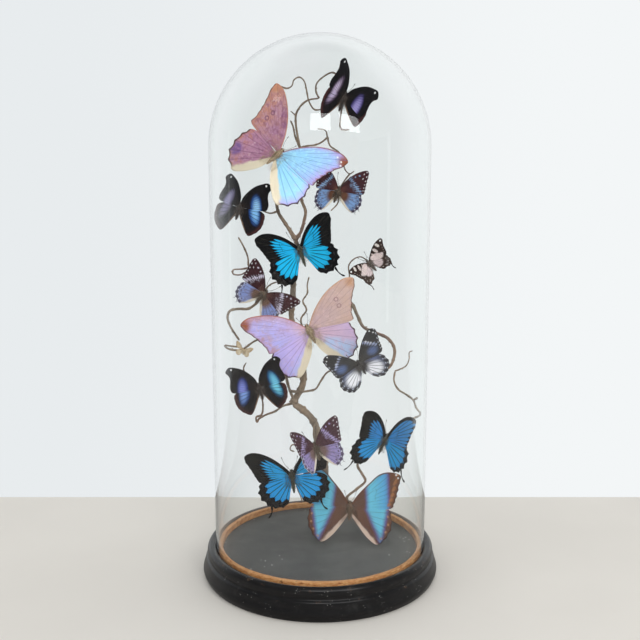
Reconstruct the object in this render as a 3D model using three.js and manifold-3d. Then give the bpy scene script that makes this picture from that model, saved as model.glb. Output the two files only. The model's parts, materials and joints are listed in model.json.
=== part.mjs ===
// Butterflies pinned on a curly branch under a tall glass dome, on a round ebonised base.
// Millimetres, +Z up. The origin is the centre of the underside of the base, and the front faces -Y.

import * as THREE from "three";
import { mergeVertices } from "three/addons/utils/BufferGeometryUtils.js";
import Module from "manifold-3d";

// Base and dome.
const baseRadius = 135;
const baseFootRadius = 129;
const beadRadius = 130;
const baseHeight = 35.8;
const hoopRadius = 117.3;
const hoopWidth = 5;
const hoopTop = 37.3;
const boardTop = 31;
const recessFloor = 24.7;
const grooveFloor = 28;
const glassRadius = 120.3;
const glassWall = 2.6;
const domeTop = 602.4;
const fitGap = 0.3;
const roundSegments = 32;
const domeArcSteps = 6;

// Insects.
const wingThickness = 0.8;
const pinRadius = 0.45;
const antennaRadius = 0.7;
const antennaSpread = 24;
const bodySegments = 4;

const mergeDistance = 1e-3;

const kernel = await Module();
kernel.setup();

// A closed geometry as a solid that can be joined and cut, its faces turned outwards.
function solid(geometry) {
  const source = geometry.index ? geometry.toNonIndexed() : geometry;
  const bare = new THREE.BufferGeometry();
  bare.setAttribute("position", source.getAttribute("position"));
  const merged = mergeVertices(bare, mergeDistance);
  const vertProperties = merged.attributes.position.array;
  const corners = [];
  for (let i = 0; i < merged.index.count; i += 3) {
    const [a, b, c] = merged.index.array.slice(i, i + 3);
    if (a !== b && b !== c && c !== a) corners.push([a, b, c]);
  }
  const build = (triangles) =>
    new kernel.Manifold(
      new kernel.Mesh({ numProp: 3, vertProperties, triVerts: new Uint32Array(triangles.flat()) }),
    );
  const made = build(corners);
  return made.volume() > 0 ? made : build(corners.map(([a, b, c]) => [a, c, b]));
}

function geometryOf(made) {
  const mesh = made.getMesh();
  const geometry = new THREE.BufferGeometry();
  geometry.setAttribute("position", new THREE.BufferAttribute(mesh.vertProperties, 3));
  geometry.setIndex(new THREE.BufferAttribute(mesh.triVerts, 1));
  const flat = geometry.toNonIndexed();
  flat.computeVertexNormals();
  return flat;
}

const object = new THREE.Group();

function addNode(name, made, material) {
  const mesh = new THREE.Mesh(geometryOf(made), material);
  mesh.name = name;
  object.add(mesh);
  return mesh;
}

function finish(color, roughness, extra = {}) {
  return new THREE.MeshStandardMaterial({ color, roughness, metalness: 0, ...extra });
}

// A turned piece from its section, given as [radius, height] points.
function turned(section) {
  const points = section.map(([radius, height]) => new THREE.Vector2(radius, height));
  return solid(new THREE.LatheGeometry(points, roundSegments).rotateX(Math.PI / 2));
}

// ---- Base, hoop, board and dome

const ebonised = finish(0x141312, 0.35);
const rawWood = finish(0xb57a48, 0.7);
const slate = finish(0x5c5d5a, 0.9);
const clearGlass = finish(0xeef4f2, 0.05, { transparent: true, opacity: 0.25 });

const grooveOuter = glassRadius + fitGap;
const recessRadius = hoopRadius + fitGap;
const baseSection = [
  [0, 0],
  [baseFootRadius, 0],
  [baseRadius - 2.2, 2],
  [baseRadius, 8],
  [baseRadius - 1.6, 14],
  [beadRadius + 2.4, 18],
  [beadRadius + 1.4, 21.2],
  [beadRadius - 0.8, 23.8],
  [beadRadius, 28.4],
  [beadRadius - 0.8, 32.8],
  [beadRadius - 3.2, baseHeight],
  [beadRadius - 5.6, baseHeight],
  [grooveOuter, 34.2],
  [grooveOuter, grooveFloor],
  [recessRadius, grooveFloor],
  [recessRadius, recessFloor],
  [0, recessFloor],
];
addNode("base_moulding", turned(baseSection), ebonised);

const hoopInner = hoopRadius - hoopWidth;
const hoopFoot = recessFloor + fitGap;
const hoopSection = [
  [hoopInner, hoopFoot],
  [hoopRadius, hoopFoot],
  [hoopRadius, hoopTop],
  [hoopInner, hoopTop],
  [hoopInner, hoopFoot],
];
addNode("hoop", turned(hoopSection), rawWood);

const boardSection = [
  [0, hoopFoot],
  [hoopInner - fitGap, hoopFoot],
  [hoopInner - fitGap, boardTop],
  [0, boardTop],
];
addNode("display_board", turned(boardSection), slate);

// A quarter circle from the wall up to the crown, as [radius, height] points.
function crownArc(radius) {
  const springing = domeTop - glassRadius;
  const steps = Array.from({ length: domeArcSteps + 1 }, (_, i) => (i / domeArcSteps) * (Math.PI / 2));
  return steps.map((angle, i) => [
    i === domeArcSteps ? 0 : radius * Math.cos(angle),
    springing + radius * Math.sin(angle),
  ]);
}
const glassFoot = grooveFloor + fitGap;
const glassInner = glassRadius - glassWall;
const domeSection = [
  ...crownArc(glassInner).reverse(),
  [glassInner, glassFoot],
  [glassRadius, glassFoot],
  ...crownArc(glassRadius),
];
addNode("glass_dome", turned(domeSection), clearGlass);

// ---- Branch: every limb is a chain of points that its centreline passes through

const bark = finish(0x8a7a6a, 0.85);

function stem(points, startRadius, endRadius, sides = 3) {
  return { points, startRadius, endRadius, sides };
}

// A tapering tube with a section at each point of its stem, fatter all over by the margin.
function tube({ points, startRadius, endRadius, sides }, margin = 0) {
  const path = new THREE.CatmullRomCurve3(points.map((p) => new THREE.Vector3(...p)), false, "centripetal");
  path.getUtoTmapping = (u) => u;
  const steps = points.length - 1;
  const corner = (_, i) => {
    const angle = (i / sides) * 2 * Math.PI;
    return new THREE.Vector2(Math.cos(angle), Math.sin(angle));
  };
  const section = new THREE.Shape(Array.from({ length: sides }, corner));
  const geometry = new THREE.ExtrudeGeometry(section, { steps, extrudePath: path });
  const centres = path.getSpacedPoints(steps);
  const place = geometry.getAttribute("position");
  const vertex = new THREE.Vector3();
  for (let i = 0; i < place.count; i += 1) {
    vertex.fromBufferAttribute(place, i);
    const distances = centres.map((centre) => centre.distanceTo(vertex));
    const nearest = distances.indexOf(Math.min(...distances));
    const radius = THREE.MathUtils.lerp(startRadius, endRadius, nearest / steps) + margin;
    vertex.sub(centres[nearest]).setLength(radius).add(centres[nearest]);
    place.setXYZ(i, vertex.x, vertex.y, vertex.z);
  }
  return solid(geometry);
}

const fork = {
  low: [-31, 7, 196],
  lowTwigs: [-29, 6, 199],
  crown: [-27, 4, 383],
  crownTop: [-22, 9, 483],
  leftLimb: [-31, 1, 304],
  rightLimb: [-22, 3, 260],
  rightStem: [4, 15, 52],
};

const limbs = {
  trunk_lower: [
    stem([[3, 16, 28], [5, 15, 62], [6, 12, 93], [4, 9, 123], [-1, 5, 148], [-3, 5, 164],
      [-10, 6, 179], [-19, 7, 188], fork.low], 5.6, 3.9, 7),
  ],
  trunk_middle: [
    stem([fork.low, [-25, 6, 207], [-20, 5, 218], [-19, 4, 235], [-22, 3, 259], [-29, 2, 279],
      [-32, 1, 298], [-31, 1, 313], [-30, 1, 328], [-28, 2, 350], [-24, 3, 369], fork.crown], 3.6, 2.6, 6),
  ],
  crown_left_limb: [
    stem([fork.crown, [-34, 6, 394], [-40, 6, 403], [-46, 7, 413], [-48, 7, 429], [-45, 6, 450],
      [-44, 4, 476]], 2.2, 1.4, 5),
    stem([[-47, 7, 414], [-55, 6, 412], [-64, 5, 415], [-77, 5, 418], [-89, 5, 419], [-91, 4, 428]], 0.9, 0.7),
  ],
  crown_right_limb: [
    stem([fork.crown, [-21, 6, 392], [-18, 8, 402], [-16, 9, 414], [-20, 10, 425], [-23, 12, 443],
      [-23, 11, 464], fork.crownTop], 1.9, 1.4, 5),
    stem([fork.crownTop, [-24, 6, 493], [-26, 4, 506], [-26, 3, 518], [-21, 2, 527], [-13, 0, 533],
      [-1, -2, 535]], 1.2, 0.9),
    stem([fork.crownTop, [-27, 5, 495], [-29, 2, 505], [-32, 1, 512]], 1.1, 0.8),
    stem([[-1, -2, 535], [-4, -3, 541], [-4, -4, 549], [2, -3, 556], [14, 0, 562], [23, 6, 554],
      [27, 8, 537], [23, 7, 521], [23, 3, 503], [32, 1, 502]], 0.9, 0.9),
    stem([[-42, -4, 547], [-35, -4, 545], [-30, -3, 548], [-28, -2, 554], [-22, -2, 557], [-17, -2, 553],
      [-14, -1, 541], [-12, -1, 532], [-6, -3, 523], [1, -3, 523]], 0.8, 0.8),
    stem([[-26, 3, 517], [-32, 1, 522]], 0.7, 0.5),
    stem([fork.crownTop, [-14, 7, 485], [-5, 5, 486], [2, 3, 489], [8, 2, 494]], 1, 0.9),
    stem([[8, 2, 494], [6, 0, 501], [-3, -2, 503]], 0.7, 0.6),
    stem([[8, 2, 494], [11, 4, 485], [21, 7, 478], [25, 10, 470], [28, 13, 459], [33, 14, 455],
      [38, 12, 458]], 0.9, 0.7),
    stem([[33, 14, 455], [27, 17, 447], [21, 20, 436], [20, 20, 423], [12, 17, 414]], 0.8, 0.7),
  ],
  left_limb: [
    stem([fork.leftLimb, [-47, -2, 310], [-63, -8, 322], [-70, -8, 314], [-79, -10, 308], [-90, -12, 308],
      [-99, -13, 306], [-102, -13, 299], [-99, -14, 289], [-89, -15, 273]], 1.7, 1.1, 5),
    stem([[-63, -8, 322], [-70, -8, 335], [-78, -9, 353], [-79, -11, 365], [-83, -12, 376],
      [-89, -12, 387]], 1.2, 0.9),
    stem([[-78, -9, 353], [-86, -12, 352], [-95, -13, 351], [-95, -14, 347], [-87, -14, 346],
      [-79, -10, 350]], 0.9, 0.8),
    stem([[-64, -8, 324], [-55, -5, 334], [-47, -3, 337]], 0.9, 0.7),
  ],
  left_stem: [
    stem([fork.lowTwigs, [-34, 4, 211], [-38, 1, 227], [-40, -2, 248], [-39, -4, 271], [-55, -8, 276],
      [-70, -12, 273], [-77, -13, 269], [-84, -14, 264], [-93, -14, 262], [-103, -13, 264],
      [-106, -12, 267], [-99, -11, 266], [-91, -11, 265]], 1.7, 0.9, 5),
    stem([[-34, 4, 211], [-24, 1, 211], [-13, -3, 213], [-5, -6, 216], [1, -9, 226], [9, -12, 237],
      [28, -14, 242], [42, -16, 246]], 1.3, 0.9),
  ],
  left_low_twig: [
    stem([fork.low, [-42, 3, 194], [-51, -2, 189], [-61, -6, 186], [-69, -9, 182], [-71, -9, 178],
      [-72, -9, 184], [-66, -10, 187], [-64, -12, 199], [-66, -15, 211], [-70, -18, 220],
      [-79, -17, 230], [-85, -14, 241], [-82, -13, 248]], 1.3, 0.7),
  ],
  right_limb: [
    stem([fork.rightLimb, [-18, 1, 270], [-11, -3, 280], [6, 4, 300], [23, 8, 312], [35, 8, 311],
      [42, 6, 298], [49, 3, 285], [63, 0, 279], [76, -2, 273], [83, -4, 263], [83, -5, 252], [77, -8, 241],
      [62, -12, 240]], 2.4, 1.4, 5),
    stem([[23, 8, 312], [31, 8, 326], [33, 7, 342], [32, 5, 354], [37, 4, 361], [45, 4, 364],
      [55, 5, 358]], 0.9, 0.6),
    stem([[-18, 1, 270], [-20, 0, 284], [-21, -4, 296], [-15, -6, 306], [-19, -7, 316], [-14, -8, 325],
      [-14, -8, 334], [-12, -8, 343]], 1, 0.8),
  ],
  right_stem: [
    stem([fork.rightStem, [18, 8, 66], [33, -1, 79], [31, -3, 87], [42, -3, 97], [52, -3, 107],
      [48, -3, 116], [43, -4, 126], [48, -6, 139], [61, -8, 150], [76, -10, 163], [83, -11, 171],
      [94, -11, 180], [106, -12, 184], [113, -12, 188], [108, -11, 196], [105, -10, 204], [96, -10, 211],
      [88, -9, 216], [83, -9, 226], [84, -8, 237]], 1.7, 0.9, 5),
    stem([[84, -8, 237], [90, -7, 239], [97, -6, 243], [100, -6, 251], [100, -6, 258], [104, -7, 260]],
      0.8, 0.6),
    stem([[105, -10, 204], [110, -10, 207]], 0.8, 1.2),
  ],
  lower_twig: [
    stem([[-6, 5, 171], [-6, -8, 175], [-7, -22, 174], [-7, -33, 169], [-6, -36, 161], [-18, -34, 158],
      [-31, -30, 158], [-33, -31, 153], [-28, -32, 151]], 1.2, 0.7),
  ],
  lower_left_twig: [
    stem([[5, 11, 103], [-4, 9, 117], [-13, 3, 127], [-21, -5, 131], [-27, -12, 129], [-29, -17, 124]], 1.3, 0.9),
    stem([[-27, -12, 129], [-28, -16, 118], [-26, -18, 104], [-22, -18, 94], [-20, -17, 87]], 0.6, 0.5),
  ],
};

// What each limb grows from, which its end is scribed to.
const growsFrom = {
  trunk_middle: ["trunk_lower"],
  crown_left_limb: ["trunk_middle"],
  crown_right_limb: ["trunk_middle", "crown_left_limb"],
  left_limb: ["trunk_middle"],
  left_stem: ["trunk_lower", "trunk_middle"],
  left_low_twig: ["trunk_lower", "trunk_middle", "left_stem"],
  right_limb: ["trunk_middle", "left_stem"],
  right_stem: ["trunk_lower", "right_limb"],
  lower_twig: ["trunk_lower"],
  lower_left_twig: ["trunk_lower"],
};

function joined(stems, margin = 0) {
  return stems.map((one) => tube(one, margin)).reduce((sum, one) => sum.add(one));
}

const clearOfBoard = boardTop + fitGap;
const boardClearance = turned([[0, 0], [hoopRadius, 0], [hoopRadius, clearOfBoard], [0, clearOfBoard]]);
for (const [name, stems] of Object.entries(limbs)) {
  const parents = growsFrom[name] ?? [];
  const clear = (made, parent) => made.subtract(joined(limbs[parent], fitGap));
  addNode(name, parents.reduce(clear, joined(stems)).subtract(boardClearance), bark);
}
const branchClearance = joined(Object.values(limbs).flat(), fitGap);

// ---- Insects: wing outlines of the right side, from root round to root.
// x runs out from the body and y to the head, and the forewing's length is 1.

const species = {
  pearly_morpho: {
    fore: [[0.01, 0.05], [0.15, 0.27], [0.35, 0.48], [0.57, 0.61], [0.75, 0.66], [0.87, 0.62], [0.86, 0.5],
      [0.79, 0.35], [0.72, 0.08], [0.71, -0.01], [0.05, 0]],
    hind: [[0.06, -0.01], [0.48, 0.05], [0.63, 0], [0.7, -0.11], [0.73, -0.26], [0.7, -0.44],
      [0.62, -0.55], [0.51, -0.62], [0.42, -0.63], [0.13, -0.37], [0.01, -0.12]],
    girth: 0.045, abdomen: 0.24, head: 0.11, antenna: 0.2, color: 0x9fb4e0,
  },
  leafwing: {
    fore: [[0.01, 0.05], [0.08, 0.27], [0.23, 0.46], [0.42, 0.62], [0.6, 0.7], [0.81, 0.74], [0.92, 0.6],
      [0.85, 0.5], [0.82, 0.38], [0.85, 0.1], [0.79, -0.03], [0.05, 0]],
    hind: [[0.06, -0.01], [0.59, 0.05], [0.77, -0.03], [0.8, -0.18], [0.77, -0.4], [0.69, -0.55],
      [0.57, -0.67], [0.44, -0.74], [0.36, -0.69], [0.13, -0.35], [0.01, -0.12]],
    girth: 0.075, abdomen: 0.38, head: 0.16, antenna: 0.3, color: 0x241d1e,
  },
  charaxes: {
    fore: [[0.01, 0.05], [0.13, 0.22], [0.35, 0.42], [0.61, 0.56], [0.86, 0.6], [0.9, 0.51], [0.86, 0.34],
      [0.78, 0], [0.74, -0.07], [0.05, 0]],
    hind: [[0.06, -0.01], [0.57, -0.01], [0.69, -0.11], [0.72, -0.26], [0.7, -0.4], [0.6, -0.54],
      [0.48, -0.62], [0.4, -0.63], [0.27, -0.54], [0.12, -0.35], [0.01, -0.12]],
    girth: 0.08, abdomen: 0.36, head: 0.16, antenna: 0.42, color: 0x5a4a50,
  },
  swallowtail: {
    fore: [[0.01, 0.05], [0.14, 0.23], [0.32, 0.41], [0.55, 0.55], [0.72, 0.58], [0.86, 0.53],
      [0.88, 0.42], [0.82, 0.26], [0.72, -0.03], [0.68, -0.08], [0.05, 0]],
    hind: [[0.06, -0.01], [0.57, -0.04], [0.72, -0.14], [0.78, -0.28], [0.77, -0.44], [0.7, -0.55],
      [0.62, -0.63], [0.68, -0.75], [0.74, -0.86], [0.67, -0.89], [0.6, -0.79], [0.53, -0.68],
      [0.38, -0.71], [0.23, -0.63], [0.12, -0.35], [0.01, -0.12]],
    girth: 0.055, abdomen: 0.4, head: 0.13, antenna: 0.36, color: 0x2a7fb0,
  },
  graphium: {
    fore: [[0.01, 0.05], [0.18, 0.21], [0.43, 0.4], [0.67, 0.5], [0.88, 0.51], [0.91, 0.43], [0.82, 0.25],
      [0.69, -0.1], [0.05, 0]],
    hind: [[0.06, -0.01], [0.52, -0.06], [0.64, -0.19], [0.67, -0.37], [0.63, -0.5], [0.61, -0.6],
      [0.58, -0.82], [0.51, -0.82], [0.48, -0.6], [0.36, -0.57], [0.22, -0.54], [0.1, -0.32],
      [0.01, -0.12]],
    girth: 0.075, abdomen: 0.4, head: 0.17, antenna: 0.35, color: 0x6e5f58,
  },
  diadem: {
    fore: [[0.01, 0.05], [0.13, 0.22], [0.32, 0.4], [0.55, 0.56], [0.76, 0.64], [0.89, 0.55], [0.88, 0.4],
      [0.82, 0.25], [0.74, -0.02], [0.67, -0.08], [0.05, 0]],
    hind: [[0.06, -0.01], [0.53, 0.02], [0.67, -0.07], [0.74, -0.22], [0.74, -0.38], [0.64, -0.52],
      [0.5, -0.62], [0.33, -0.6], [0.2, -0.5], [0.1, -0.33], [0.01, -0.12]],
    girth: 0.06, abdomen: 0.34, head: 0.14, antenna: 0.36, color: 0x4a4a50,
  },
  banded_morpho: {
    fore: [[0.01, 0.05], [0.16, 0.23], [0.36, 0.41], [0.54, 0.55], [0.72, 0.58], [0.9, 0.51], [0.88, 0.39],
      [0.76, 0.02], [0.7, -0.04], [0.05, 0]],
    hind: [[0.06, -0.01], [0.52, 0.02], [0.67, -0.07], [0.71, -0.22], [0.69, -0.38], [0.62, -0.51],
      [0.52, -0.62], [0.42, -0.65], [0.27, -0.53], [0.12, -0.31], [0.01, -0.12]],
    girth: 0.055, abdomen: 0.22, head: 0.12, antenna: 0.22, color: 0x6a8f9c,
  },
  pale_moth: {
    fore: [[0.01, 0.05], [0.3, 0.3], [0.6, 0.5], [0.85, 0.52], [0.8, 0.3], [0.62, 0.05], [0.05, 0]],
    hind: [[0.06, -0.01], [0.3, 0], [0.55, -0.08], [0.6, -0.3], [0.45, -0.5], [0.25, -0.5], [0.08, -0.25]],
    girth: 0.1, abdomen: 0.42, head: 0.18, antenna: 0.4, color: 0xc9b79a,
  },
};
const hinge = { fore: new THREE.Vector2(0.03, 0.03), hind: new THREE.Vector2(0.03, -0.02) };

// at: the thorax. perch: where its pin meets the twig. size: the forewing's length. heading: the head's
// lean to the right of straight up, and lean: its tip towards the front. lift: the wings' rise from flat.
// fore, hind: how far each wing is drawn back. Pairs are left and right as seen from the front. Degrees.
const insects = [
  { name: "pearly_morpho_upper", kind: "pearly_morpho", at: [-45, -10, 476], perch: [-44, 5, 475], size: 71,
    heading: 49, lean: -12, lift: [33, 9], fore: [4, -6], hind: [13, -11] },
  { name: "pearly_morpho_middle", kind: "pearly_morpho", at: [-12, -23, 286], perch: [-11, -3, 280], size: 71,
    heading: -25, lean: 10, lift: [9, 1], fore: [3, 10], hind: [-1, 15] },
  { name: "banded_morpho", kind: "banded_morpho", at: [34, -14, 79], perch: [33, -1, 79], size: 67,
    heading: 2, lean: -6, lift: [-6, 7], fore: [-8, -6], hind: [-4, -6] },
  { name: "swallowtail_upper", kind: "swallowtail", at: [-22, -15, 374], perch: [-24, 3, 370], size: 51,
    heading: -18, lean: 5, lift: [18, 12], fore: [0, -3], hind: [-5, -4] },
  { name: "swallowtail_left", kind: "swallowtail", at: [-31, -35, 125], perch: [-29, -17, 124], size: 56,
    heading: -6, lean: 8, lift: [-8, -14], fore: [6, -6], hind: [7, 4] },
  { name: "swallowtail_right", kind: "swallowtail", at: [73, -22, 163], perch: [76, -10, 163], size: 52,
    heading: 21, lean: 8, lift: [32, 58], fore: [-4, -23], hind: [-2, -31] },
  { name: "leafwing_top", kind: "leafwing", at: [26, -1, 536], perch: [27, 8, 537], size: 42,
    heading: 21, lean: 12, lift: [55, 40], fore: [-18, 16], hind: [-14, -22] },
  { name: "leafwing_left", kind: "leafwing", at: [-88, -7, 419], perch: [-89, 5, 419], size: 38,
    heading: 16, lean: 5, lift: [46, 6], fore: [-14, -12], hind: [-3, -2] },
  { name: "leafwing_lower", kind: "leafwing", at: [-66, -34, 224], perch: [-70, -18, 220], size: 37,
    heading: -16, lean: 4, lift: [10, 5], fore: [-10, -6], hind: [-3, 3] },
  { name: "charaxes_right", kind: "charaxes", at: [20, 11, 436], perch: [21, 20, 436], size: 38,
    heading: 20, lean: 6, lift: [30, 8], fore: [0, -20], hind: [6, -22] },
  { name: "charaxes_left", kind: "charaxes", at: [-61, -24, 326], perch: [-63, -8, 322], size: 39,
    heading: 43, lean: 8, lift: [5, 2], fore: [-1, 2], hind: [6, -5] },
  { name: "charaxes_lower", kind: "charaxes", at: [-5, -50, 161], perch: [-6, -36, 161], size: 41,
    heading: -20, lean: -12, lift: [60, 14], fore: [-2, -3], hind: [-5, -2] },
  { name: "graphium", kind: "graphium", at: [54, -7, 358], perch: [55, 5, 358], size: 31,
    heading: -44, lean: 12, lift: [39, 12], fore: [3, 4], hind: [-10, -3] },
  { name: "diadem", kind: "diadem", at: [43, -32, 250], perch: [42, -16, 246], size: 41,
    heading: -32, lean: 10, lift: [16, -2], fore: [-10, -5], hind: [-7, 5] },
  { name: "pale_moth", kind: "pale_moth", at: [-84, -24, 264], perch: [-84, -14, 264], size: 13,
    heading: 3, lean: 6, lift: [3, 22], fore: [-25, 15], hind: [-11, 10] },
];

function drawnBack(outline, pivot, back) {
  const turn = THREE.MathUtils.degToRad(-back);
  return outline.map(([x, y]) => new THREE.Vector2(x, y).rotateAround(pivot, turn));
}

// Where two segments cross, or null.
function crossing(from, to, start, end) {
  const along = to.clone().sub(from);
  const other = end.clone().sub(start);
  const offset = start.clone().sub(from);
  const scale = along.cross(other);
  const shares = [offset.cross(other) / scale, offset.cross(along) / scale];
  return shares.every((share) => share > 0 && share < 1) ? from.clone().addScaledVector(along, shares[0]) : null;
}

// The forewing's outline up to where the hindwing comes out from under it, then the hindwing's.
function pairOutline(fore, hind) {
  for (let i = 1; i < fore.length; i += 1) {
    for (let j = hind.length - 1; j > 0; j -= 1) {
      const point = crossing(fore[i - 1], fore[i], hind[j - 1], hind[j]);
      if (point) return [...fore.slice(0, i), point, ...hind.slice(j)];
    }
  }
  return [...fore, ...hind];
}

// The wings of one side as a flat plate: side is -1 for the left and 1 for the right.
function wings(form, fore, hind, side, lift, size) {
  const outline = pairOutline(drawnBack(form.fore, hinge.fore, fore), drawnBack(form.hind, hinge.hind, hind));
  const corners = outline.map(({ x, y }) => new THREE.Vector2(side * x * size, y * size));
  const plate = new THREE.ExtrudeGeometry(new THREE.Shape(corners), {
    depth: wingThickness,
    bevelEnabled: false,
  });
  plate.translate(0, 0, -wingThickness / 2);
  return solid(plate.rotateY(THREE.MathUtils.degToRad(-side * lift)));
}

// Head, thorax and abdomen in one turned form along y.
function body({ girth, abdomen, head }, size) {
  const section = [
    [0, -abdomen],
    [0.62 * girth, -0.6 * abdomen],
    [girth, -0.02],
    [0.55 * girth, head - 1.1 * girth],
    [0.6 * girth, head - 0.4 * girth],
    [0, head],
  ];
  const points = section.map(([radius, y]) => new THREE.Vector2(radius * size, y * size));
  return solid(new THREE.LatheGeometry(points, bodySegments));
}

// A straight rod between two points, three-sided and with its own radius at each end.
function rod(from, to, startRadius, endRadius) {
  const along = new THREE.Vector3().subVectors(to, from);
  const shape = new THREE.CylinderGeometry(endRadius, startRadius, along.length(), 3);
  const turn = new THREE.Quaternion().setFromUnitVectors(new THREE.Vector3(0, 1, 0), along.normalize());
  const middle = new THREE.Vector3().addVectors(from, to).multiplyScalar(0.5);
  return solid(shape.applyQuaternion(turn).translate(middle.x, middle.y, middle.z));
}

function antenna(kind, side, size) {
  const angle = THREE.MathUtils.degToRad(antennaSpread);
  const start = new THREE.Vector3(0, (kind.head - 0.6 * kind.girth) * size, 0);
  const reach = new THREE.Vector3(side * Math.sin(angle), Math.cos(angle), 0.2);
  const end = start.clone().addScaledVector(reach, (kind.antenna + 0.5 * kind.girth) * size);
  return rod(start, end, 0, antennaRadius);
}

function insect({ kind, at, perch, size, heading, lean, lift, fore, hind }) {
  const form = species[kind];
  const stand = new THREE.Object3D();
  stand.position.set(...at);
  const tilt = THREE.MathUtils.degToRad(90 + lean);
  stand.rotation.set(tilt, THREE.MathUtils.degToRad(heading), 0, "YXZ");
  stand.updateMatrixWorld(true);
  const inverse = stand.matrixWorld.clone().invert();
  const pinEnd = new THREE.Vector3(...perch).applyMatrix4(inverse);
  const pieces = [body(form, size), rod(new THREE.Vector3(), pinEnd, pinRadius, pinRadius)];
  [-1, 1].forEach((side, i) => {
    pieces.push(wings(form, fore[i], hind[i], side, lift[i], size));
    pieces.push(antenna(form, side, size));
  });
  const whole = pieces.reduce((sum, piece) => sum.add(piece));
  return { stand, made: whole.subtract(branchClearance.transform(inverse.elements)) };
}

for (const one of insects) {
  const { stand, made } = insect(one);
  const mesh = addNode(one.name, made, finish(species[one.kind].color, 0.7));
  mesh.position.copy(stand.position);
  mesh.rotation.copy(stand.rotation);
}

export default object;
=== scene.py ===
import json
import math
import random

import bpy
import numpy as np
from mathutils import Matrix, Vector


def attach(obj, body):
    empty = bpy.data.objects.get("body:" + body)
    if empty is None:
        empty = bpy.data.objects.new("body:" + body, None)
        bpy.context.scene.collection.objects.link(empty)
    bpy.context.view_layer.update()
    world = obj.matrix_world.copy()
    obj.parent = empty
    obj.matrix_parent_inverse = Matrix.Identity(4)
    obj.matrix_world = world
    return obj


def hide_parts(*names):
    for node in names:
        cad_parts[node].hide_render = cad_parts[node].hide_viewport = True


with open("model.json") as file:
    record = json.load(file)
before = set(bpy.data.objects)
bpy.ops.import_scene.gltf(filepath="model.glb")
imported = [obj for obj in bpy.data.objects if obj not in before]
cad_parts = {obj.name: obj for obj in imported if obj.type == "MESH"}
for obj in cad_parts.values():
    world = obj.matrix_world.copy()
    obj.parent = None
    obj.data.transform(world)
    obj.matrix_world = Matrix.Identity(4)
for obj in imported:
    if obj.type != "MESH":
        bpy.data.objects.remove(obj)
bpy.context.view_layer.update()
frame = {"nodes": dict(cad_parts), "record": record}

mm = 0.001
body = "root"
random.seed(7)
print("frame:", len(frame["nodes"]), "nodes")


# Shader kit

def tint(*screen):  # screen colour 0-255 to the shader's own scale
    return tuple(((c / 255 + 0.055) / 1.055) ** 2.4 if c > 10 else c / 3294 for c in screen) + (1.0,)


class Field:  # a socket that Python operators work on
    def __init__(self, kit, socket):
        self.kit = kit
        self.socket = socket

    def __add__(self, other):
        return self.kit.maths("ADD", self, other)

    def __sub__(self, other):
        return self.kit.maths("SUBTRACT", self, other)

    def __rsub__(self, other):
        return self.kit.maths("SUBTRACT", other, self)

    def __mul__(self, other):
        return self.kit.maths("MULTIPLY", self, other)

    def __truediv__(self, other):
        return self.kit.maths("DIVIDE", self, other)

    def __abs__(self):
        return self.kit.maths("ABSOLUTE", self)

    __radd__ = __add__
    __rmul__ = __mul__


class Kit:  # one material and the nodes in it
    def __init__(self, name, tree=None):
        if tree is None:
            self.material = bpy.data.materials.new(name)
            self.material.use_nodes = True
            tree = self.material.node_tree
        self.tree = tree
        self.tree.nodes.clear()

    def node(self, kind, settings=None, inputs=None, out=0):
        made = self.tree.nodes.new("ShaderNode" + kind)
        for name, value in (settings or {}).items():
            if name == "stops":
                self.setStops(made.color_ramp, value)
            else:
                setattr(made, name, value)
        for name, value in (inputs or {}).items():
            if isinstance(value, Field):
                self.tree.links.new(value.socket, made.inputs[name])
            else:
                made.inputs[name].default_value = value
        return Field(self, made.outputs[out]) if made.outputs else made

    def setStops(self, ramp, stops):
        while len(ramp.elements) < len(stops):
            ramp.elements.new(0.5)
        for element, (place, colour) in zip(ramp.elements, stops):
            element.position = place
            element.color = colour

    def maths(self, operation, *values):
        return self.node("Math", {"operation": operation}, dict(enumerate(values)))

    def vector(self, operation, *values):
        return self.node("VectorMath", {"operation": operation}, dict(enumerate(values)))

    def measure(self, operation, *values):  # Vector Math that gives a number
        return self.node("VectorMath", {"operation": operation}, dict(enumerate(values)), 1)

    def scaled(self, vector, factor):
        return self.node("VectorMath", {"operation": "SCALE"}, {0: vector, 3: factor})

    def smooth(self, value, low, high):
        return self.node("MapRange", {"interpolation_type": "SMOOTHSTEP"}, {0: value, 1: low, 2: high})

    def mix(self, mask, under, over):
        return self.node("Mix", {"data_type": "RGBA"}, {0: mask, 6: under, 7: over}, 2)

    def parts(self, vector):
        made = self.node("SeparateXYZ", None, {0: vector}).socket.node
        return [Field(self, socket) for socket in made.outputs]

    def joined(self, x, y=0.0, z=0.0):
        return self.node("CombineXYZ", None, {0: x, 1: y, 2: z})

    def noise(self, place, scale, detail=2.0, rough=0.5):
        inputs = {"Vector": place, "Scale": scale, "Detail": detail, "Roughness": rough}
        return self.node("TexNoise", None, inputs)

    def cells(self, place, scale):
        return self.node("TexVoronoi", None, {"Vector": place, "Scale": scale})

    def ramp(self, value, stops):
        return self.node("ValToRGB", {"stops": stops}, {0: value})

    def place(self):
        return self.node("TexCoord", None, None, 3)

    def map(self, name):
        return self.node("UVMap", {"uv_map": name})

    def bump(self, height, distance, strength=1.0):
        return self.node("Bump", None, {"Height": height, "Distance": distance, "Strength": strength})

    def shade(self, colour, rough, normal=None, **fixed):
        inputs = {"Base Color": colour, "Roughness": rough}
        if normal is not None:
            inputs["Normal"] = normal
        for name, value in fixed.items():
            inputs[name.replace("_", " ")] = value
        shader = self.node("BsdfPrincipled", None, inputs)
        self.node("OutputMaterial", None, {"Surface": shader})
        return self.material


# Mesh kit

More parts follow.
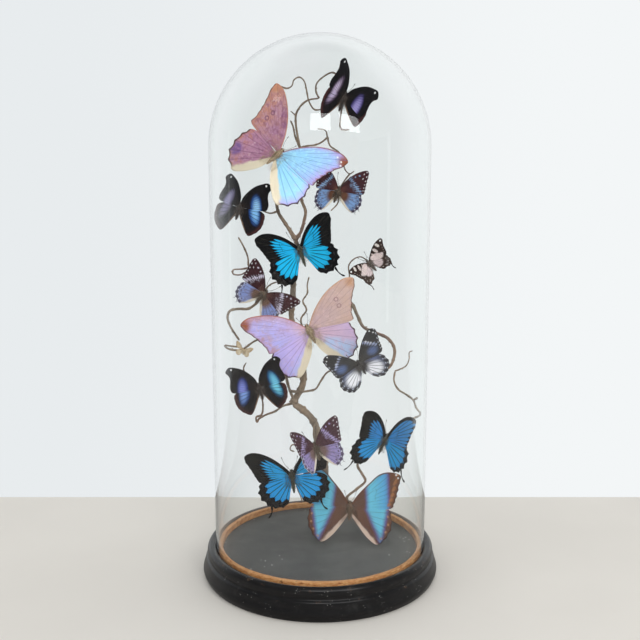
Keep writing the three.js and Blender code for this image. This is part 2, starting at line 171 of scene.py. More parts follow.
class Build:  # gathers closed shells into one mesh
    def __init__(self):
        self.points = []
        self.faces = []
        self.slots = []
        self.maps = {}
        self.count = 0

    def add(self, points, faces, maps=None, slots=0):
        points = np.asarray(points, float)
        self.points.append(points)
        self.faces.extend([tuple(int(i) + self.count for i in face) for face in faces])
        self.slots.extend([slots] * len(faces) if isinstance(slots, int) else slots)
        for name, values in (maps or {}).items():
            self.maps.setdefault(name, []).append((self.count, np.asarray(values, float)))
        self.count += len(points)

    def object(self, name, materials):
        mesh = bpy.data.meshes.new(name)
        mesh.from_pydata(np.concatenate(self.points).tolist(), [], self.faces)
        for material in materials:
            mesh.materials.append(material)
        mesh.polygons.foreach_set("material_index", self.slots)
        mesh.polygons.foreach_set("use_smooth", [True] * len(self.faces))
        corners = np.empty(len(mesh.loops), int)
        mesh.loops.foreach_get("vertex_index", corners)
        for mapName, parts in self.maps.items():
            values = np.zeros((self.count, 2))
            for start, part in parts:
                values[start:start + len(part)] = part
            layer = mesh.uv_layers.new(name=mapName)
            layer.data.foreach_set("uv", values[corners].ravel())
        mesh.update()
        made = bpy.data.objects.new(name, mesh)
        bpy.context.scene.collection.objects.link(made)
        return made


def place(piece, slot, *nodes):
    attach(piece, body)
    if nodes:
        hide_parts(*nodes)
    return piece


def spline(points, steps):  # centripetal curve through the points, steps to a stretch
    points = np.asarray(points, float)
    ends = [2 * points[0] - points[1], *points, 2 * points[-1] - points[-2]]
    out = []
    for i in range(1, len(ends) - 2):
        p0, p1, p2, p3 = ends[i - 1:i + 3]
        t0 = 0.0
        t1 = t0 + max(np.linalg.norm(p1 - p0), 1e-9) ** 0.5
        t2 = t1 + max(np.linalg.norm(p2 - p1), 1e-9) ** 0.5
        t3 = t2 + max(np.linalg.norm(p3 - p2), 1e-9) ** 0.5
        for t in np.linspace(t1, t2, steps, endpoint=False):
            a1 = (t1 - t) / (t1 - t0) * p0 + (t - t0) / (t1 - t0) * p1
            a2 = (t2 - t) / (t2 - t1) * p1 + (t - t1) / (t2 - t1) * p2
            a3 = (t3 - t) / (t3 - t2) * p2 + (t - t2) / (t3 - t2) * p3
            b1 = (t2 - t) / (t2 - t0) * a1 + (t - t0) / (t2 - t0) * a2
            b2 = (t3 - t) / (t3 - t1) * a2 + (t - t1) / (t3 - t1) * a3
            out.append((t2 - t) / (t2 - t1) * b1 + (t - t1) / (t2 - t1) * b2)
    out.append(points[-1])
    return np.array(out)


def evenly(points, count):  # the same curve with equal steps
    length = np.concatenate([[0], np.cumsum(np.linalg.norm(np.diff(points, axis=0), axis=1))])
    wanted = np.linspace(0, length[-1], count)
    return np.stack([np.interp(wanted, length, points[:, k]) for k in range(points.shape[1])], 1)


def loft(count, sides):  # faces of a stack of equal rings, closed at both ends
    faces = []
    for i in range(count - 1):
        for j in range(sides):
            k = (j + 1) % sides
            faces.append((i * sides + j, i * sides + k, (i + 1) * sides + k, (i + 1) * sides + j))
    faces.append(tuple(range(sides - 1, -1, -1)))
    faces.append(tuple((count - 1) * sides + j for j in range(sides)))
    return faces


def tube(build, path, radii, sides, slot=0, lumps=None):
    path = np.asarray(path, float)
    radii = np.broadcast_to(np.asarray(radii, float), len(path))
    ahead = np.gradient(path, axis=0)
    ahead /= np.linalg.norm(ahead, axis=1, keepdims=True)
    side = np.cross(ahead[0], (0.3, 0.2, 0.9))
    side /= np.linalg.norm(side)
    length = np.concatenate([[0], np.cumsum(np.linalg.norm(np.diff(path, axis=0), axis=1))])
    points = []
    maps = []
    turns = np.linspace(0, 2 * math.pi, sides, endpoint=False)
    for i, centre in enumerate(path):
        side = side - ahead[i] * side.dot(ahead[i])
        side /= np.linalg.norm(side)
        other = np.cross(ahead[i], side)
        swell = 1 if lumps is None else lumps(length[i], turns)
        around = np.outer(np.cos(turns) * swell, side) + np.outer(np.sin(turns) * swell, other)
        points.append(centre + radii[i] * around)
        maps.append(np.stack([np.full(sides, length[i]), np.abs(turns / math.pi - 1)], 1))
    build.add(np.concatenate(points), loft(len(path), sides), {"along": np.concatenate(maps)}, slot)


def turned(build, section, segments, wobble=None):  # a closed section round the axis
    section = np.asarray(section, float)
    turns = np.linspace(0, 2 * math.pi, segments, endpoint=False)
    onAxis = [i for i, (radius, _) in enumerate(section) if radius < 1e-9]
    start = [i for i in range(len(section)) if i not in onAxis]
    rings = []
    for i in start:
        radius, height = section[i]
        shift = (0, 0) if wobble is None else wobble(turns, radius, height)
        rings.append(np.stack([(radius + shift[0]) * np.cos(turns), (radius + shift[0]) * np.sin(turns),
                               height + shift[1] + 0 * turns], 1))
    points = np.concatenate(rings)
    count = len(start)
    faces = []
    for i in range(count - 1 if onAxis else count):
        a, b = i * segments, (i + 1) % count * segments
        for j in range(segments):
            k = (j + 1) % segments
            faces.append((a + j, a + k, b + k, b + j))
    if onAxis:
        low, high = len(points), len(points) + 1
        points = np.concatenate([points, [[0, 0, section[0][1]], [0, 0, section[-1][1]]]])
        for j in range(segments):
            k = (j + 1) % segments
            faces.append((low, k, j))
            faces.append((high, (count - 1) * segments + j, (count - 1) * segments + k))
    build.add(points, faces)


# Camera and light

studio = {
    "cameraPlace": (0, -0.982, 0.452),
    "lookDown": 9.17,
    "lens": 50, "sensor": 36, "near": 0.01, "far": 50,
    "wall": (232, 236, 238), "wallRight": (243, 246, 247),
    "wallTurn": (-0.3, 0.3),  # the wall grows paler between these headings to the right
    "room": (98, 100, 103),  # what the glass mirrors from the side where the lamps stand
    "roomFront": (-0.15, 0.6), "roomTop": (0.97, 0.75),  # the room gives way to the wall between these
    "floor": (222, 216, 208), "floorPaler": 5, "floorRough": 0.75,
    "floorBack": 0.231,
    "floorHalf": 2.6,
    "lamps": {  # place, the point it faces, width and height, power
        "window": ((0.0, -1.5, 1.13), (0.0, 0.0, 1.13), (0.53, 0.5), 5.6),
        "window_beside": ((0.86, -1.5, 1.15), (0.86, 0.0, 1.15), (0.68, 0.52), 7.4),
        "skylight": ((-2.1, -1.5, 2.8), (-0.05, 0.0, 0.5), (0.42, 0.3), 1.1),
        "door": ((1.84, -0.66, 0.22), (0.0, 0.0, 0.3), (0.11, 1.3), 0.5),
        "curtain": ((-1.92, 0.4, 0.22), (0.0, 0.0, 0.3), (0.09, 1.3), 0.22),
    },
    "fill": 0.98,  # the room's light on the object, against the wall's brightness
}


def makeStudio():
    camera = bpy.data.objects.new("camera", bpy.data.cameras.new("camera"))
    bpy.context.scene.collection.objects.link(camera)
    camera.location = studio["cameraPlace"]
    camera.rotation_euler = (math.radians(90 - studio["lookDown"]), 0, 0)
    camera.data.lens = studio["lens"]
    camera.data.sensor_width = studio["sensor"]
    camera.data.clip_start = studio["near"]
    camera.data.clip_end = studio["far"]
    bpy.context.scene.camera = camera
    bpy.context.scene.view_settings.view_transform = "Standard"

    for name, (centre, facing, (width, height), power) in studio["lamps"].items():
        lamp = bpy.data.lights.new(name, "AREA")
        lamp.shape = "RECTANGLE"
        lamp.size, lamp.size_y = width, height
        lamp.energy = power
        lampObject = bpy.data.objects.new(name, lamp)
        bpy.context.scene.collection.objects.link(lampObject)
        lampObject.location = centre
        lampObject.rotation_euler = (Vector(facing) - Vector(centre)).to_track_quat("-Z", "Y").to_euler()
        lampObject.visible_camera = False
        lampObject.visible_transmission = False  # and not through the dome from behind

    world = bpy.data.worlds.new("studio")
    bpy.context.scene.world = world
    world.use_nodes = True
    k = Kit("studio", world.node_tree)
    heading = k.parts(k.node("TexCoord", None, None, 0))
    wall = k.mix(k.smooth(heading[0], *studio["wallTurn"]), tint(*studio["wall"]), tint(*studio["wallRight"]))
    behind = k.smooth(heading[1], *studio["roomFront"]) * k.smooth(heading[2], *studio["roomTop"])
    mirrored = k.mix(behind, tint(*studio["room"]), wall)
    rays = k.node("LightPath").socket.node.outputs
    # what is seen straight through the glass has no mirror bounce and stays the wall
    glossy = k.maths("MINIMUM", Field(k, rays["Glossy Depth"]), 1)
    diffuse = Field(k, rays["Is Diffuse Ray"])
    lit = k.scaled(k.mix(glossy, wall, mirrored), 1 - diffuse * (1 - studio["fill"]))
    sky = k.node("Background", None, {"Color": lit, "Strength": 1.0})
    k.node("OutputWorld", None, {"Surface": sky})

    back, half = studio["floorBack"], studio["floorHalf"]
    floorMesh = bpy.data.meshes.new("floor")
    corners = [(-half, -half, 0), (half, -half, 0), (half, back, 0), (-half, back, 0)]
    floorMesh.from_pydata(corners, [], [(0, 1, 2, 3)])
    floor = bpy.data.objects.new("floor", floorMesh)
    bpy.context.scene.collection.objects.link(floor)
    k = Kit("floor")
    cloud = k.noise(k.place(), 3.0, 4.0)
    paler = [c + studio["floorPaler"] for c in studio["floor"]]
    colour = k.mix(k.smooth(cloud, 0.35, 0.7), tint(*studio["floor"]), tint(*paler))
    floorMesh.materials.append(k.shade(colour, studio["floorRough"]))


makeStudio()
print("studio: done")


# Base, hoop, board

base = {
    "radius": 135, "footRadius": 129, "beadRadius": 130, "height": 35.8,
    "grooveOuter": 120.6, "recessRadius": 117.6, "grooveFloor": 28, "recessFloor": 24.7,
    "rimEdge": 33.8, "coveEdge": 21.5,  # heights where the black is rubbed through
    "black": (20, 19, 20), "worn": (84, 62, 44), "dust": (205, 203, 198), "segments": 176,
}


def arc(centre, radius, start, end, steps):  # part of a circle in a section, degrees
    angles = np.radians(np.linspace(start, end, steps))
    return [(centre[0] + radius * math.cos(a), centre[1] + radius * math.sin(a)) for a in angles]


def ebonised():
    k = Kit("ebonised_wood")
    spot = k.place()
    x, y, z = k.parts(spot)
    black, worn, dust = tint(*base["black"]), tint(*base["worn"]), tint(*base["dust"])
    grain = k.noise(k.joined(x * 0.5, y * 4.0, z * 9.0), 60.0, 5.0, 0.6)
    blotch = k.noise(spot, 22.0, 4.0, 0.6)
    colour = k.mix(k.smooth(grain, 0.45, 0.75) * 0.5, black, tint(34, 31, 31))
    edge = k.smooth(abs(z - base["rimEdge"] * mm), 0.003, 0.0006)
    edge = edge + k.smooth(abs(z - base["coveEdge"] * mm), 0.002, 0.0004)
    rub = edge * k.smooth(k.noise(spot, 90.0, 5.0, 0.7), 0.56, 0.68)
    colour = k.mix(rub * 0.8, colour, worn)
    haze = k.smooth(k.noise(spot, 45.0, 6.0, 0.7), 0.52, 0.8)
    colour = k.mix(haze * 0.035, colour, dust)
    grit = k.cells(spot, 420.0)
    speck = k.smooth(grit, 0.16, 0.1) * k.smooth(k.noise(spot, 70.0, 2.0), 0.57, 0.62)
    colour = k.mix(speck * 0.8, colour, dust)
    rough = 0.25 + blotch * 0.1 + haze * 0.06 + speck * 0.3
    height = grain * 0.25 + k.noise(spot, 240.0, 3.0) * 0.2 + speck * 0.7
    return k.shade(colour, rough, k.bump(height, 0.00018, 0.45), Specular_IOR_Level=0.3,
                   Coat_Weight=0.2, Coat_Roughness=0.28)


def makeBase():
    build = Build()
    b = base
    turning = [(b["footRadius"] + 2.4, 0.3), (b["radius"] - 2.2, 2), (b["radius"], 8),
               (b["radius"] - 1.6, 14),
               (b["beadRadius"] + 2.4, 18), (b["beadRadius"] + 1.4, 21.2), (b["beadRadius"] - 0.8, 23.8),
               (b["beadRadius"], 28.4), (b["beadRadius"] - 0.8, 32.8), (b["beadRadius"] - 3.2, b["height"])]
    section = [(0, 0), (b["footRadius"], 0)]
    section += [tuple(point) for point in np.minimum(spline(turning, 5), (b["radius"], b["height"]))]
    section += [(b["beadRadius"] - 5.6, b["height"]), (b["grooveOuter"] + 1.2, 34.8),
                (b["grooveOuter"], 34.2),
                (b["grooveOuter"], b["grooveFloor"]), (b["recessRadius"], b["grooveFloor"]),
                (b["recessRadius"], b["recessFloor"]), (0, b["recessFloor"])]
    turned(build, np.array(section) * mm, b["segments"])
    piece = build.object("turned_base", [ebonised()])
    piece.data.set_sharp_from_angle(angle=math.radians(50))
    place(piece, "ebonised_wood", "base_moulding")


hoop = {
    "outer": 117.3, "width": 5, "top": 37.3, "foot": 25, "segments": 240, "chips": 26,
    "paleTop": (36.2, 37.4),  # heights over which the wood pales
    "painted": (115.5, 116.8),  # radii over which the creeping paint sets in
    "wood": (192, 124, 68), "pale": (220, 168, 114), "dark": (112, 66, 36), "paint": (38, 34, 32),
}


def rawWood():
    k = Kit("raw_wood")
    spot = k.place()
    x, y, z = k.parts(spot)
    radius = k.measure("LENGTH", k.joined(x, y))
    turn = k.maths("ARCTAN2", y, x)
    unrolled = k.joined(turn * 0.35, radius * 6, z * 6)
    grain = k.noise(unrolled, 60.0, 5.0, 0.65)
    wood, pale, dark = (tint(*hoop[name]) for name in ("wood", "pale", "dark"))
    colour = k.mix(k.smooth(grain, 0.35, 0.7), wood, pale)
    colour = k.mix(k.smooth(grain, 0.42, 0.28) * 0.7, colour, dark)
    blotch = k.noise(spot, 30.0, 4.0, 0.6)
    colour = k.mix(k.smooth(blotch, 0.6, 0.75) * 0.5, colour, dark)
    edge = k.smooth(z, *[height * mm for height in hoop["paleTop"]])
    colour = k.mix(edge * 0.4, colour, pale)
    creep = k.smooth(k.noise(k.joined(turn * 6.0, z * 120.0, 3.0), 1.6, 5.0, 0.7), 0.6, 0.66)
    lowOuter = k.smooth(radius, *[reach * mm for reach in hoop["painted"]])
    colour = k.mix(creep * lowOuter, colour, tint(*hoop["paint"]))
    height = grain * 0.7 + k.noise(spot, 400.0, 3.0) * 0.3
    return k.shade(colour, 0.62 + grain * 0.2, k.bump(height, 0.0003, 0.7))


def makeHoop():
    build = Build()
    inner, outer = hoop["outer"] - hoop["width"], hoop["outer"]
    foot, top = hoop["foot"], hoop["top"]
    chips = [(random.uniform(0, 2 * math.pi), random.uniform(0.01, 0.035), random.uniform(0.3, 0.9))
             for _ in range(hoop["chips"])]

    def wobble(turns, radius, height):
        radius, height = radius / mm, height / mm
        wave = 0.18 * np.sin(3 * turns + 0.6) + 0.1 * np.sin(11 * turns) + 0.05 * np.sin(37 * turns + 2)
        raised = (height - foot) / (top - foot)
        drop = wave * raised - 0.3 * raised
        for angle, width, depth in chips:
            off = np.angle(np.exp(1j * (turns - angle)))
            near = np.exp(-(off / width) ** 2)
            drop = drop - near * depth * (height > top - 0.8) * (radius > outer - 1.6)
        slack = 0.12 * np.sin(2 * turns + 1) * (radius < outer - 2)
        return slack * mm, drop * mm

    section = [(inner, foot), (outer, foot), (outer, top - 3), (outer, top - 0.6), (outer - 0.5, top),
               (outer - 1.5, top), (inner + 0.6, top), (inner, top - 0.6), (inner, top - 4)]
    turned(build, np.array(section) * mm, hoop["segments"], wobble)
    piece = build.object("bent_wood_hoop", [rawWood()])
    piece.data.set_sharp_from_angle(angle=math.radians(40))
    place(piece, "raw_wood", "hoop")


board = {"radius": 112.0, "foot": 25, "top": 31, "segments": 128,
         "slate": (101, 101, 99), "pale": (132, 132, 128), "dark": (80, 80, 79)}


def slate():
    k = Kit("slate_board")
    spot = k.place()
    slateTone, pale, dark = (tint(*board[name]) for name in ("slate", "pale", "dark"))
    cloud = k.noise(spot, 16.0, 5.0, 0.6)
    colour = k.mix(k.smooth(cloud, 0.35, 0.7), dark, slateTone)
    x, y, z = k.parts(spot)
    rub = k.noise(k.joined(x, y * 3.0, z), 30.0, 6.0, 0.7)
    colour = k.mix(k.smooth(rub, 0.56, 0.78) * 0.35, colour, pale)
    grit = k.cells(spot, 170.0)
    speck = k.smooth(grit, 0.2, 0.12) * k.smooth(k.noise(spot, 48.0, 2.0), 0.58, 0.62)
    colour = k.mix(speck * 0.85, colour, tint(214, 212, 206))
    fine = k.noise(spot, 330.0, 4.0, 0.7)
    colour = k.mix(k.smooth(fine, 0.4, 0.7) * 0.08, colour, pale)
    return k.shade(colour, 0.72 + cloud * 0.14, k.bump(fine * 0.5 + rub * 0.5, 0.0001, 0.35),
                   Specular_IOR_Level=0.3)


def makeBoard():
    build = Build()
    radius, foot, top = board["radius"], board["foot"], board["top"]
    section = [(0, foot), (radius, foot), (radius, top - 0.4), (radius - 0.4, top)]
    section += [(radius * share, top) for share in (0.8, 0.6, 0.4, 0.2)] + [(0, top)]
    turned(build, np.array(section) * mm, board["segments"])
    place(build.object("slate_board", [slate()]), "board", "display_board")


makeBase()
makeHoop()
makeBoard()
print("base, hoop and board: done")


# Dome

dome = {"radius": 120.3, "wall": 2.6, "top": 602.4, "foot": 28.3, "segments": 360, "ior": 1.46,
        "crownSteps": 65, "wallSteps": 25, "outOfRound": 0.12,
        "tone": (255, 255, 255), "thick": (252, 254, 253), "shadow": (246, 248, 247)}


def clearGlass():
    k = Kit("dome_glass")
    x, y, z = k.parts(k.place())
    drawn = k.noise(k.joined(x, y, z * 0.12), 14.0, 2.0)
    colour = k.mix(k.smooth(drawn, 0.3, 0.7), tint(*dome["tone"]), tint(*dome["thick"]))
    inputs = {"Base Color": colour, "Roughness": 0.0, "IOR": dome["ior"], "Transmission Weight": 1.0}
    glass = k.node("BsdfPrincipled", None, inputs)
    clear = k.node("BsdfTransparent", None, {"Color": tint(*dome["shadow"])})
    shadow = k.node("LightPath", None, None, 1)
    surface = k.node("MixShader", None, {0: shadow, 1: glass, 2: clear})
    k.node("OutputMaterial", None, {"Surface": surface})
    return k.material


def makeDome():
    build = Build()
    outer, inner = dome["radius"], dome["radius"] - dome["wall"]
    spring = dome["top"] - outer

    def shell(radius):
        angles = np.linspace(0, math.pi / 2, dome["crownSteps"])[:-1]
        crown = [(radius * math.cos(a), spring + radius * math.sin(a)) for a in angles]
        wallHeights = np.linspace(dome["foot"] + 2, spring, dome["wallSteps"])[:-1]
        return [(radius, h) for h in wallHeights] + crown

    inside = shell(inner)
    outside = shell(outer)
    rim = arc(((outer + inner) / 2, dome["foot"] + dome["wall"] / 2), dome["wall"] / 2, 180, 360, 7)
    section = [(0, dome["top"] - dome["wall"])] + inside[::-1] + rim + outside + [(0, dome["top"])]

    def wave(turns, radius, height):  # blown glass isn't quite round
        return dome["outOfRound"] * mm * np.sin(3 * turns + height * 9) * (height > 0.04), 0

    turned(build, np.array(section) * mm, dome["segments"], wave)
    place(build.object("blown_dome", [clearGlass()]), "glass", "glass_dome")


makeDome()
print("dome: done")


# Branch

bark = {"tan": (158, 138, 116), "grey": (126, 114, 102), "brown": (96, 80, 68), "red": (138, 98, 84),
        "step": 1.3, "sides": 12, "thinSides": 8, "thick": 1.5, "curveSteps": 12,
        "flare": 0.35, "flareReach": 4,  # a twig swells by this share at its fork, over this length
        "browner": (0.36, 0.5)}  # the bark darkens between these heights
forks = {
    "low": (-31, 7, 196), "lowTwigs": (-29, 6, 199), "crown": (-27, 4, 383), "crownTop": (-22, 9, 483),
    "leftLimb": (-31, 1, 304), "rightLimb": (-22, 3, 260), "rightStem": (4, 15, 52),
}
limbs = {  # each stem: its points, then its radius at the start and at the end
    "trunk_lower": [
        ([(3, 16, 31.3), (5, 15, 62), (6, 12, 93), (4, 9, 123), (-1, 5, 148), (-3, 5, 164), (-10, 6, 179),
          (-19, 7, 188), forks["low"]], 5.6, 3.9),
    ],
    "trunk_middle": [
        ([forks["low"], (-25, 6, 207), (-20, 5, 218), (-19, 4, 235), (-22, 3, 259), (-29, 2, 279),
          (-32, 1, 298), (-31, 1, 313), (-30, 1, 328), (-28, 2, 350), (-24, 3, 369), forks["crown"]],
         3.6, 2.6),
    ],
    "crown_left_limb": [
        ([forks["crown"], (-34, 6, 394), (-40, 6, 403), (-46, 7, 413), (-48, 7, 429), (-45, 6, 450),
          (-44, 4, 476)], 2.2, 1.4),
        ([(-47, 7, 414), (-55, 6, 412), (-64, 5, 415), (-77, 5, 418), (-89, 5, 419), (-91, 4, 428)],
         0.9, 0.7),
    ],
    "crown_right_limb": [
        ([forks["crown"], (-21, 6, 392), (-18, 8, 402), (-16, 9, 414), (-20, 10, 425), (-23, 12, 443),
          (-23, 11, 464), forks["crownTop"]], 1.9, 1.4),
        ([forks["crownTop"], (-24, 6, 493), (-26, 4, 506), (-26, 3, 518), (-21, 2, 527), (-13, 0, 533),
          (-1, -2, 535)], 1.2, 0.9),
        ([forks["crownTop"], (-27, 5, 495), (-29, 2, 505), (-32, 1, 512)], 1.1, 0.8),
        ([(-1, -2, 535), (-4, -3, 541), (-4, -4, 549), (2, -3, 556), (14, 0, 562), (23, 6, 554), (27, 8, 537),
          (23, 7, 521), (23, 3, 503), (32, 1, 502)], 0.9, 0.9),
        ([(-42, -4, 547), (-35, -4, 545), (-30, -3, 548), (-28, -2, 554), (-22, -2, 557), (-17, -2, 553),
          (-14, -1, 541), (-12, -1, 532), (-6, -3, 523), (1, -3, 523)], 0.8, 0.8),
        ([(-26, 3, 517), (-32, 1, 522)], 0.7, 0.5),
        ([forks["crownTop"], (-14, 7, 485), (-5, 5, 486), (2, 3, 489), (8, 2, 494)], 1, 0.9),
        ([(8, 2, 494), (6, 0, 501), (-3, -2, 503)], 0.7, 0.6),
        ([(8, 2, 494), (11, 4, 485), (21, 7, 478), (25, 10, 470), (28, 13, 459), (33, 14, 455),
          (38, 12, 458)], 0.9, 0.7),
        ([(33, 14, 455), (27, 17, 447), (21, 20, 436), (20, 20, 423), (12, 17, 414)], 0.8, 0.7),
    ],
    "left_limb": [
        ([forks["leftLimb"], (-47, -2, 310), (-63, -8, 322), (-70, -8, 314), (-79, -10, 308), (-90, -12, 308),
          (-99, -13, 306), (-102, -13, 299), (-99, -14, 289), (-89, -15, 273)], 1.7, 1.1),
        ([(-63, -8, 322), (-70, -8, 335), (-78, -9, 353), (-79, -11, 365), (-83, -12, 376), (-89, -12, 387)],
         1.2, 0.9),
        ([(-78, -9, 353), (-86, -12, 352), (-95, -13, 351), (-95, -14, 347), (-87, -14, 346),
          (-79, -10, 350)],
         0.9, 0.8),
        ([(-64, -8, 324), (-55, -5, 334), (-47, -3, 337)], 0.9, 0.7),
    ],
    "left_stem": [
        ([forks["lowTwigs"], (-34, 4, 211), (-38, 1, 227), (-40, -2, 248), (-39, -4, 271), (-55, -8, 276),
          (-70, -12, 273), (-77, -13, 269), (-84, -14, 264), (-93, -14, 262), (-103, -13, 264),
          (-106, -12, 267), (-99, -11, 266), (-91, -11, 265)], 1.7, 0.9),
        ([(-34, 4, 211), (-24, 1, 211), (-13, -3, 213), (-5, -6, 216), (1, -9, 226), (9, -12, 237),
          (28, -14, 242), (42, -16, 246)], 1.3, 0.9),
    ],
    "left_low_twig": [
        ([forks["low"], (-42, 3, 194), (-51, -2, 189), (-61, -6, 186), (-69, -9, 182), (-71, -9, 178),
          (-72, -9, 184), (-66, -10, 187), (-64, -12, 199), (-66, -15, 211), (-70, -18, 220), (-79, -17, 230),
          (-85, -14, 241), (-82, -13, 248)], 1.3, 0.7),
    ],
    "right_limb": [
        ([forks["rightLimb"], (-18, 1, 270), (-11, -3, 280), (6, 4, 300), (23, 8, 312), (35, 8, 311),
          (42, 6, 298), (49, 3, 285), (63, 0, 279), (76, -2, 273), (83, -4, 263), (83, -5, 252),
          (77, -8, 241), (62, -12, 240)],
         2.4, 1.4),
        ([(23, 8, 312), (31, 8, 326), (33, 7, 342), (32, 5, 354), (37, 4, 361), (45, 4, 364), (55, 5, 358)],
         0.9, 0.6),
        ([(-18, 1, 270), (-20, 0, 284), (-21, -4, 296), (-15, -6, 306), (-19, -7, 316), (-14, -8, 325),
          (-14, -8, 334), (-12, -8, 343)], 1, 0.8),
    ],
    "right_stem": [
        ([forks["rightStem"], (18, 8, 66), (33, -1, 79), (31, -3, 87), (42, -3, 97), (52, -3, 107),
          (48, -3, 116), (43, -4, 126), (48, -6, 139), (61, -8, 150), (76, -10, 163), (83, -11, 171),
          (94, -11, 180), (106, -12, 184), (113, -12, 188), (108, -11, 196), (105, -10, 204), (96, -10, 211),
          (88, -9, 216), (83, -9, 226), (84, -8, 237)], 1.7, 0.9),
        ([(84, -8, 237), (90, -7, 239), (97, -6, 243), (100, -6, 251), (100, -6, 258), (104, -7, 260)],
         0.8, 0.6),
        ([(105, -10, 204), (110, -10, 207)], 0.8, 1.2),
    ],
    "lower_twig": [
        ([(-6, 5, 171), (-6, -8, 175), (-7, -22, 174), (-7, -33, 169), (-6, -36, 161), (-18, -34, 158),
          (-31, -30, 158), (-33, -31, 153), (-28, -32, 151)], 1.2, 0.7),
    ],
    "lower_left_twig": [
        ([(5, 11, 103), (-4, 9, 117), (-13, 3, 127), (-21, -5, 131), (-27, -12, 129), (-29, -17, 124)],
         1.3, 0.9),
        ([(-27, -12, 129), (-28, -16, 118), (-26, -18, 104), (-22, -18, 94), (-20, -17, 87)], 0.6, 0.5),
    ],
}


def barkFinish():
    k = Kit("bark")
    spot = k.place()
    along, around, _ = k.parts(k.map("along"))
    tan, grey, brown, red = (tint(*bark[name]) for name in ("tan", "grey", "brown", "red"))
    fibre = k.noise(k.joined(along * 130.0, around * 9.0, 0.5), 1.0, 5.0, 0.65)
    blotch = k.noise(spot, 26.0, 4.0, 0.6)
    large = k.noise(spot, 9.0, 2.0)
    colour = k.mix(k.smooth(blotch, 0.35, 0.65), grey, tan)
    colour = k.mix(k.smooth(large, 0.5, 0.66) * 0.55, colour, red)
    colour = k.mix(k.smooth(k.parts(spot)[2], *bark["browner"]) * 0.45, colour, brown)
    colour = k.mix(k.smooth(fibre, 0.55, 0.3) * 0.75, colour, brown)
    colour = k.mix(k.smooth(fibre, 0.62, 0.8) * 0.45, colour, tint(190, 176, 156))
    pores = k.smooth(k.cells(k.joined(along * 420.0, around * 6.0, 0.2), 1.0), 0.3, 0.16)
    colour = k.mix(pores * 0.4, colour, tint(72, 58, 50))
    height = fibre * 0.8 + k.noise(spot, 300.0, 4.0, 0.6) * 0.4 + pores * -0.5
    return k.shade(colour, 0.72 + blotch * 0.18, k.bump(height, 0.0005, 0.8))


def lumpy(seed):  # a dry twig's swellings, ridges and joints
    rng = np.random.default_rng(seed)
    phases = rng.uniform(0, 6.28, 6)
    joint = rng.uniform(13, 21) * mm

    def swell(length, turns):
        wave = 0.05 * math.sin(length * 330 + phases[0]) + 0.035 * math.sin(length * 1150 + phases[1])
        ridges = 0.07 * np.sin(2 * turns + phases[2] + length * 60)
        ridges += 0.045 * np.sin(5 * turns + phases[3] + length * 130)
        off = (length + phases[4] * mm) % joint - joint / 2
        return 1 + wave + ridges + 0.28 * math.exp(-(off / (1.1 * mm)) ** 2)

    return swell


def makeBranch():
    finish = barkFinish()
    for number, (name, stems) in enumerate(limbs.items()):
        build = Build()
        for part, (points, first, last) in enumerate(stems):
            path = spline(np.array(points, float) * mm, bark["curveSteps"])
            length = np.linalg.norm(np.diff(path, axis=0), axis=1).sum()
            count = max(8, int(length / (bark["step"] * mm)))
            path = evenly(path, count)
            share = np.linspace(0, 1, count)
            radii = (first + (last - first) * share) * mm
            if part or number:
                radii = radii * (1 + bark["flare"] * np.exp(-share * length / (bark["flareReach"] * mm)))
            tip = np.clip((1 - share) * length / (1.2 * last * mm), 0, 1)
            radii = radii * np.sqrt(np.clip(1 - (1 - tip) ** 2, 0.04, 1))
            sides = bark["sides"] if first > bark["thick"] else bark["thinSides"]
            seed = number * 20 + part
            tube(build, path, radii, sides, 0, lumpy(seed))
            addBuds(build, path, radii, seed)
        place(build.object("twig_" + name, [finish]), "bark", name)


def addBuds(build, path, radii, seed):
    rng = np.random.default_rng(seed + 500)
    spacing = 24
    for at in range(int(rng.integers(6, 18)), len(path) - 6, spacing):
        ahead = path[at + 1] - path[at]
        ahead /= np.linalg.norm(ahead)
        out = np.cross(ahead, rng.normal(size=3))
        out /= np.linalg.norm(out)
        reach = (1.1 + 0.9 * radii[at] / mm) * mm * rng.uniform(0.8, 1.3)
        foot = path[at] + out * radii[at] * 0.5
        end = foot + (out * 0.75 + ahead * 0.65) * reach
        bud = np.linspace(foot, end, 5)
        tube(build, bud, np.array([0.75, 0.8, 0.65, 0.4, 0.06]) * min(radii[at] * 1.1, 1.1 * mm), 6)


makeBranch()
print("branch: done")


# Wings: outlines of the right side from root round to root, x out and y to the head, forewing length 1

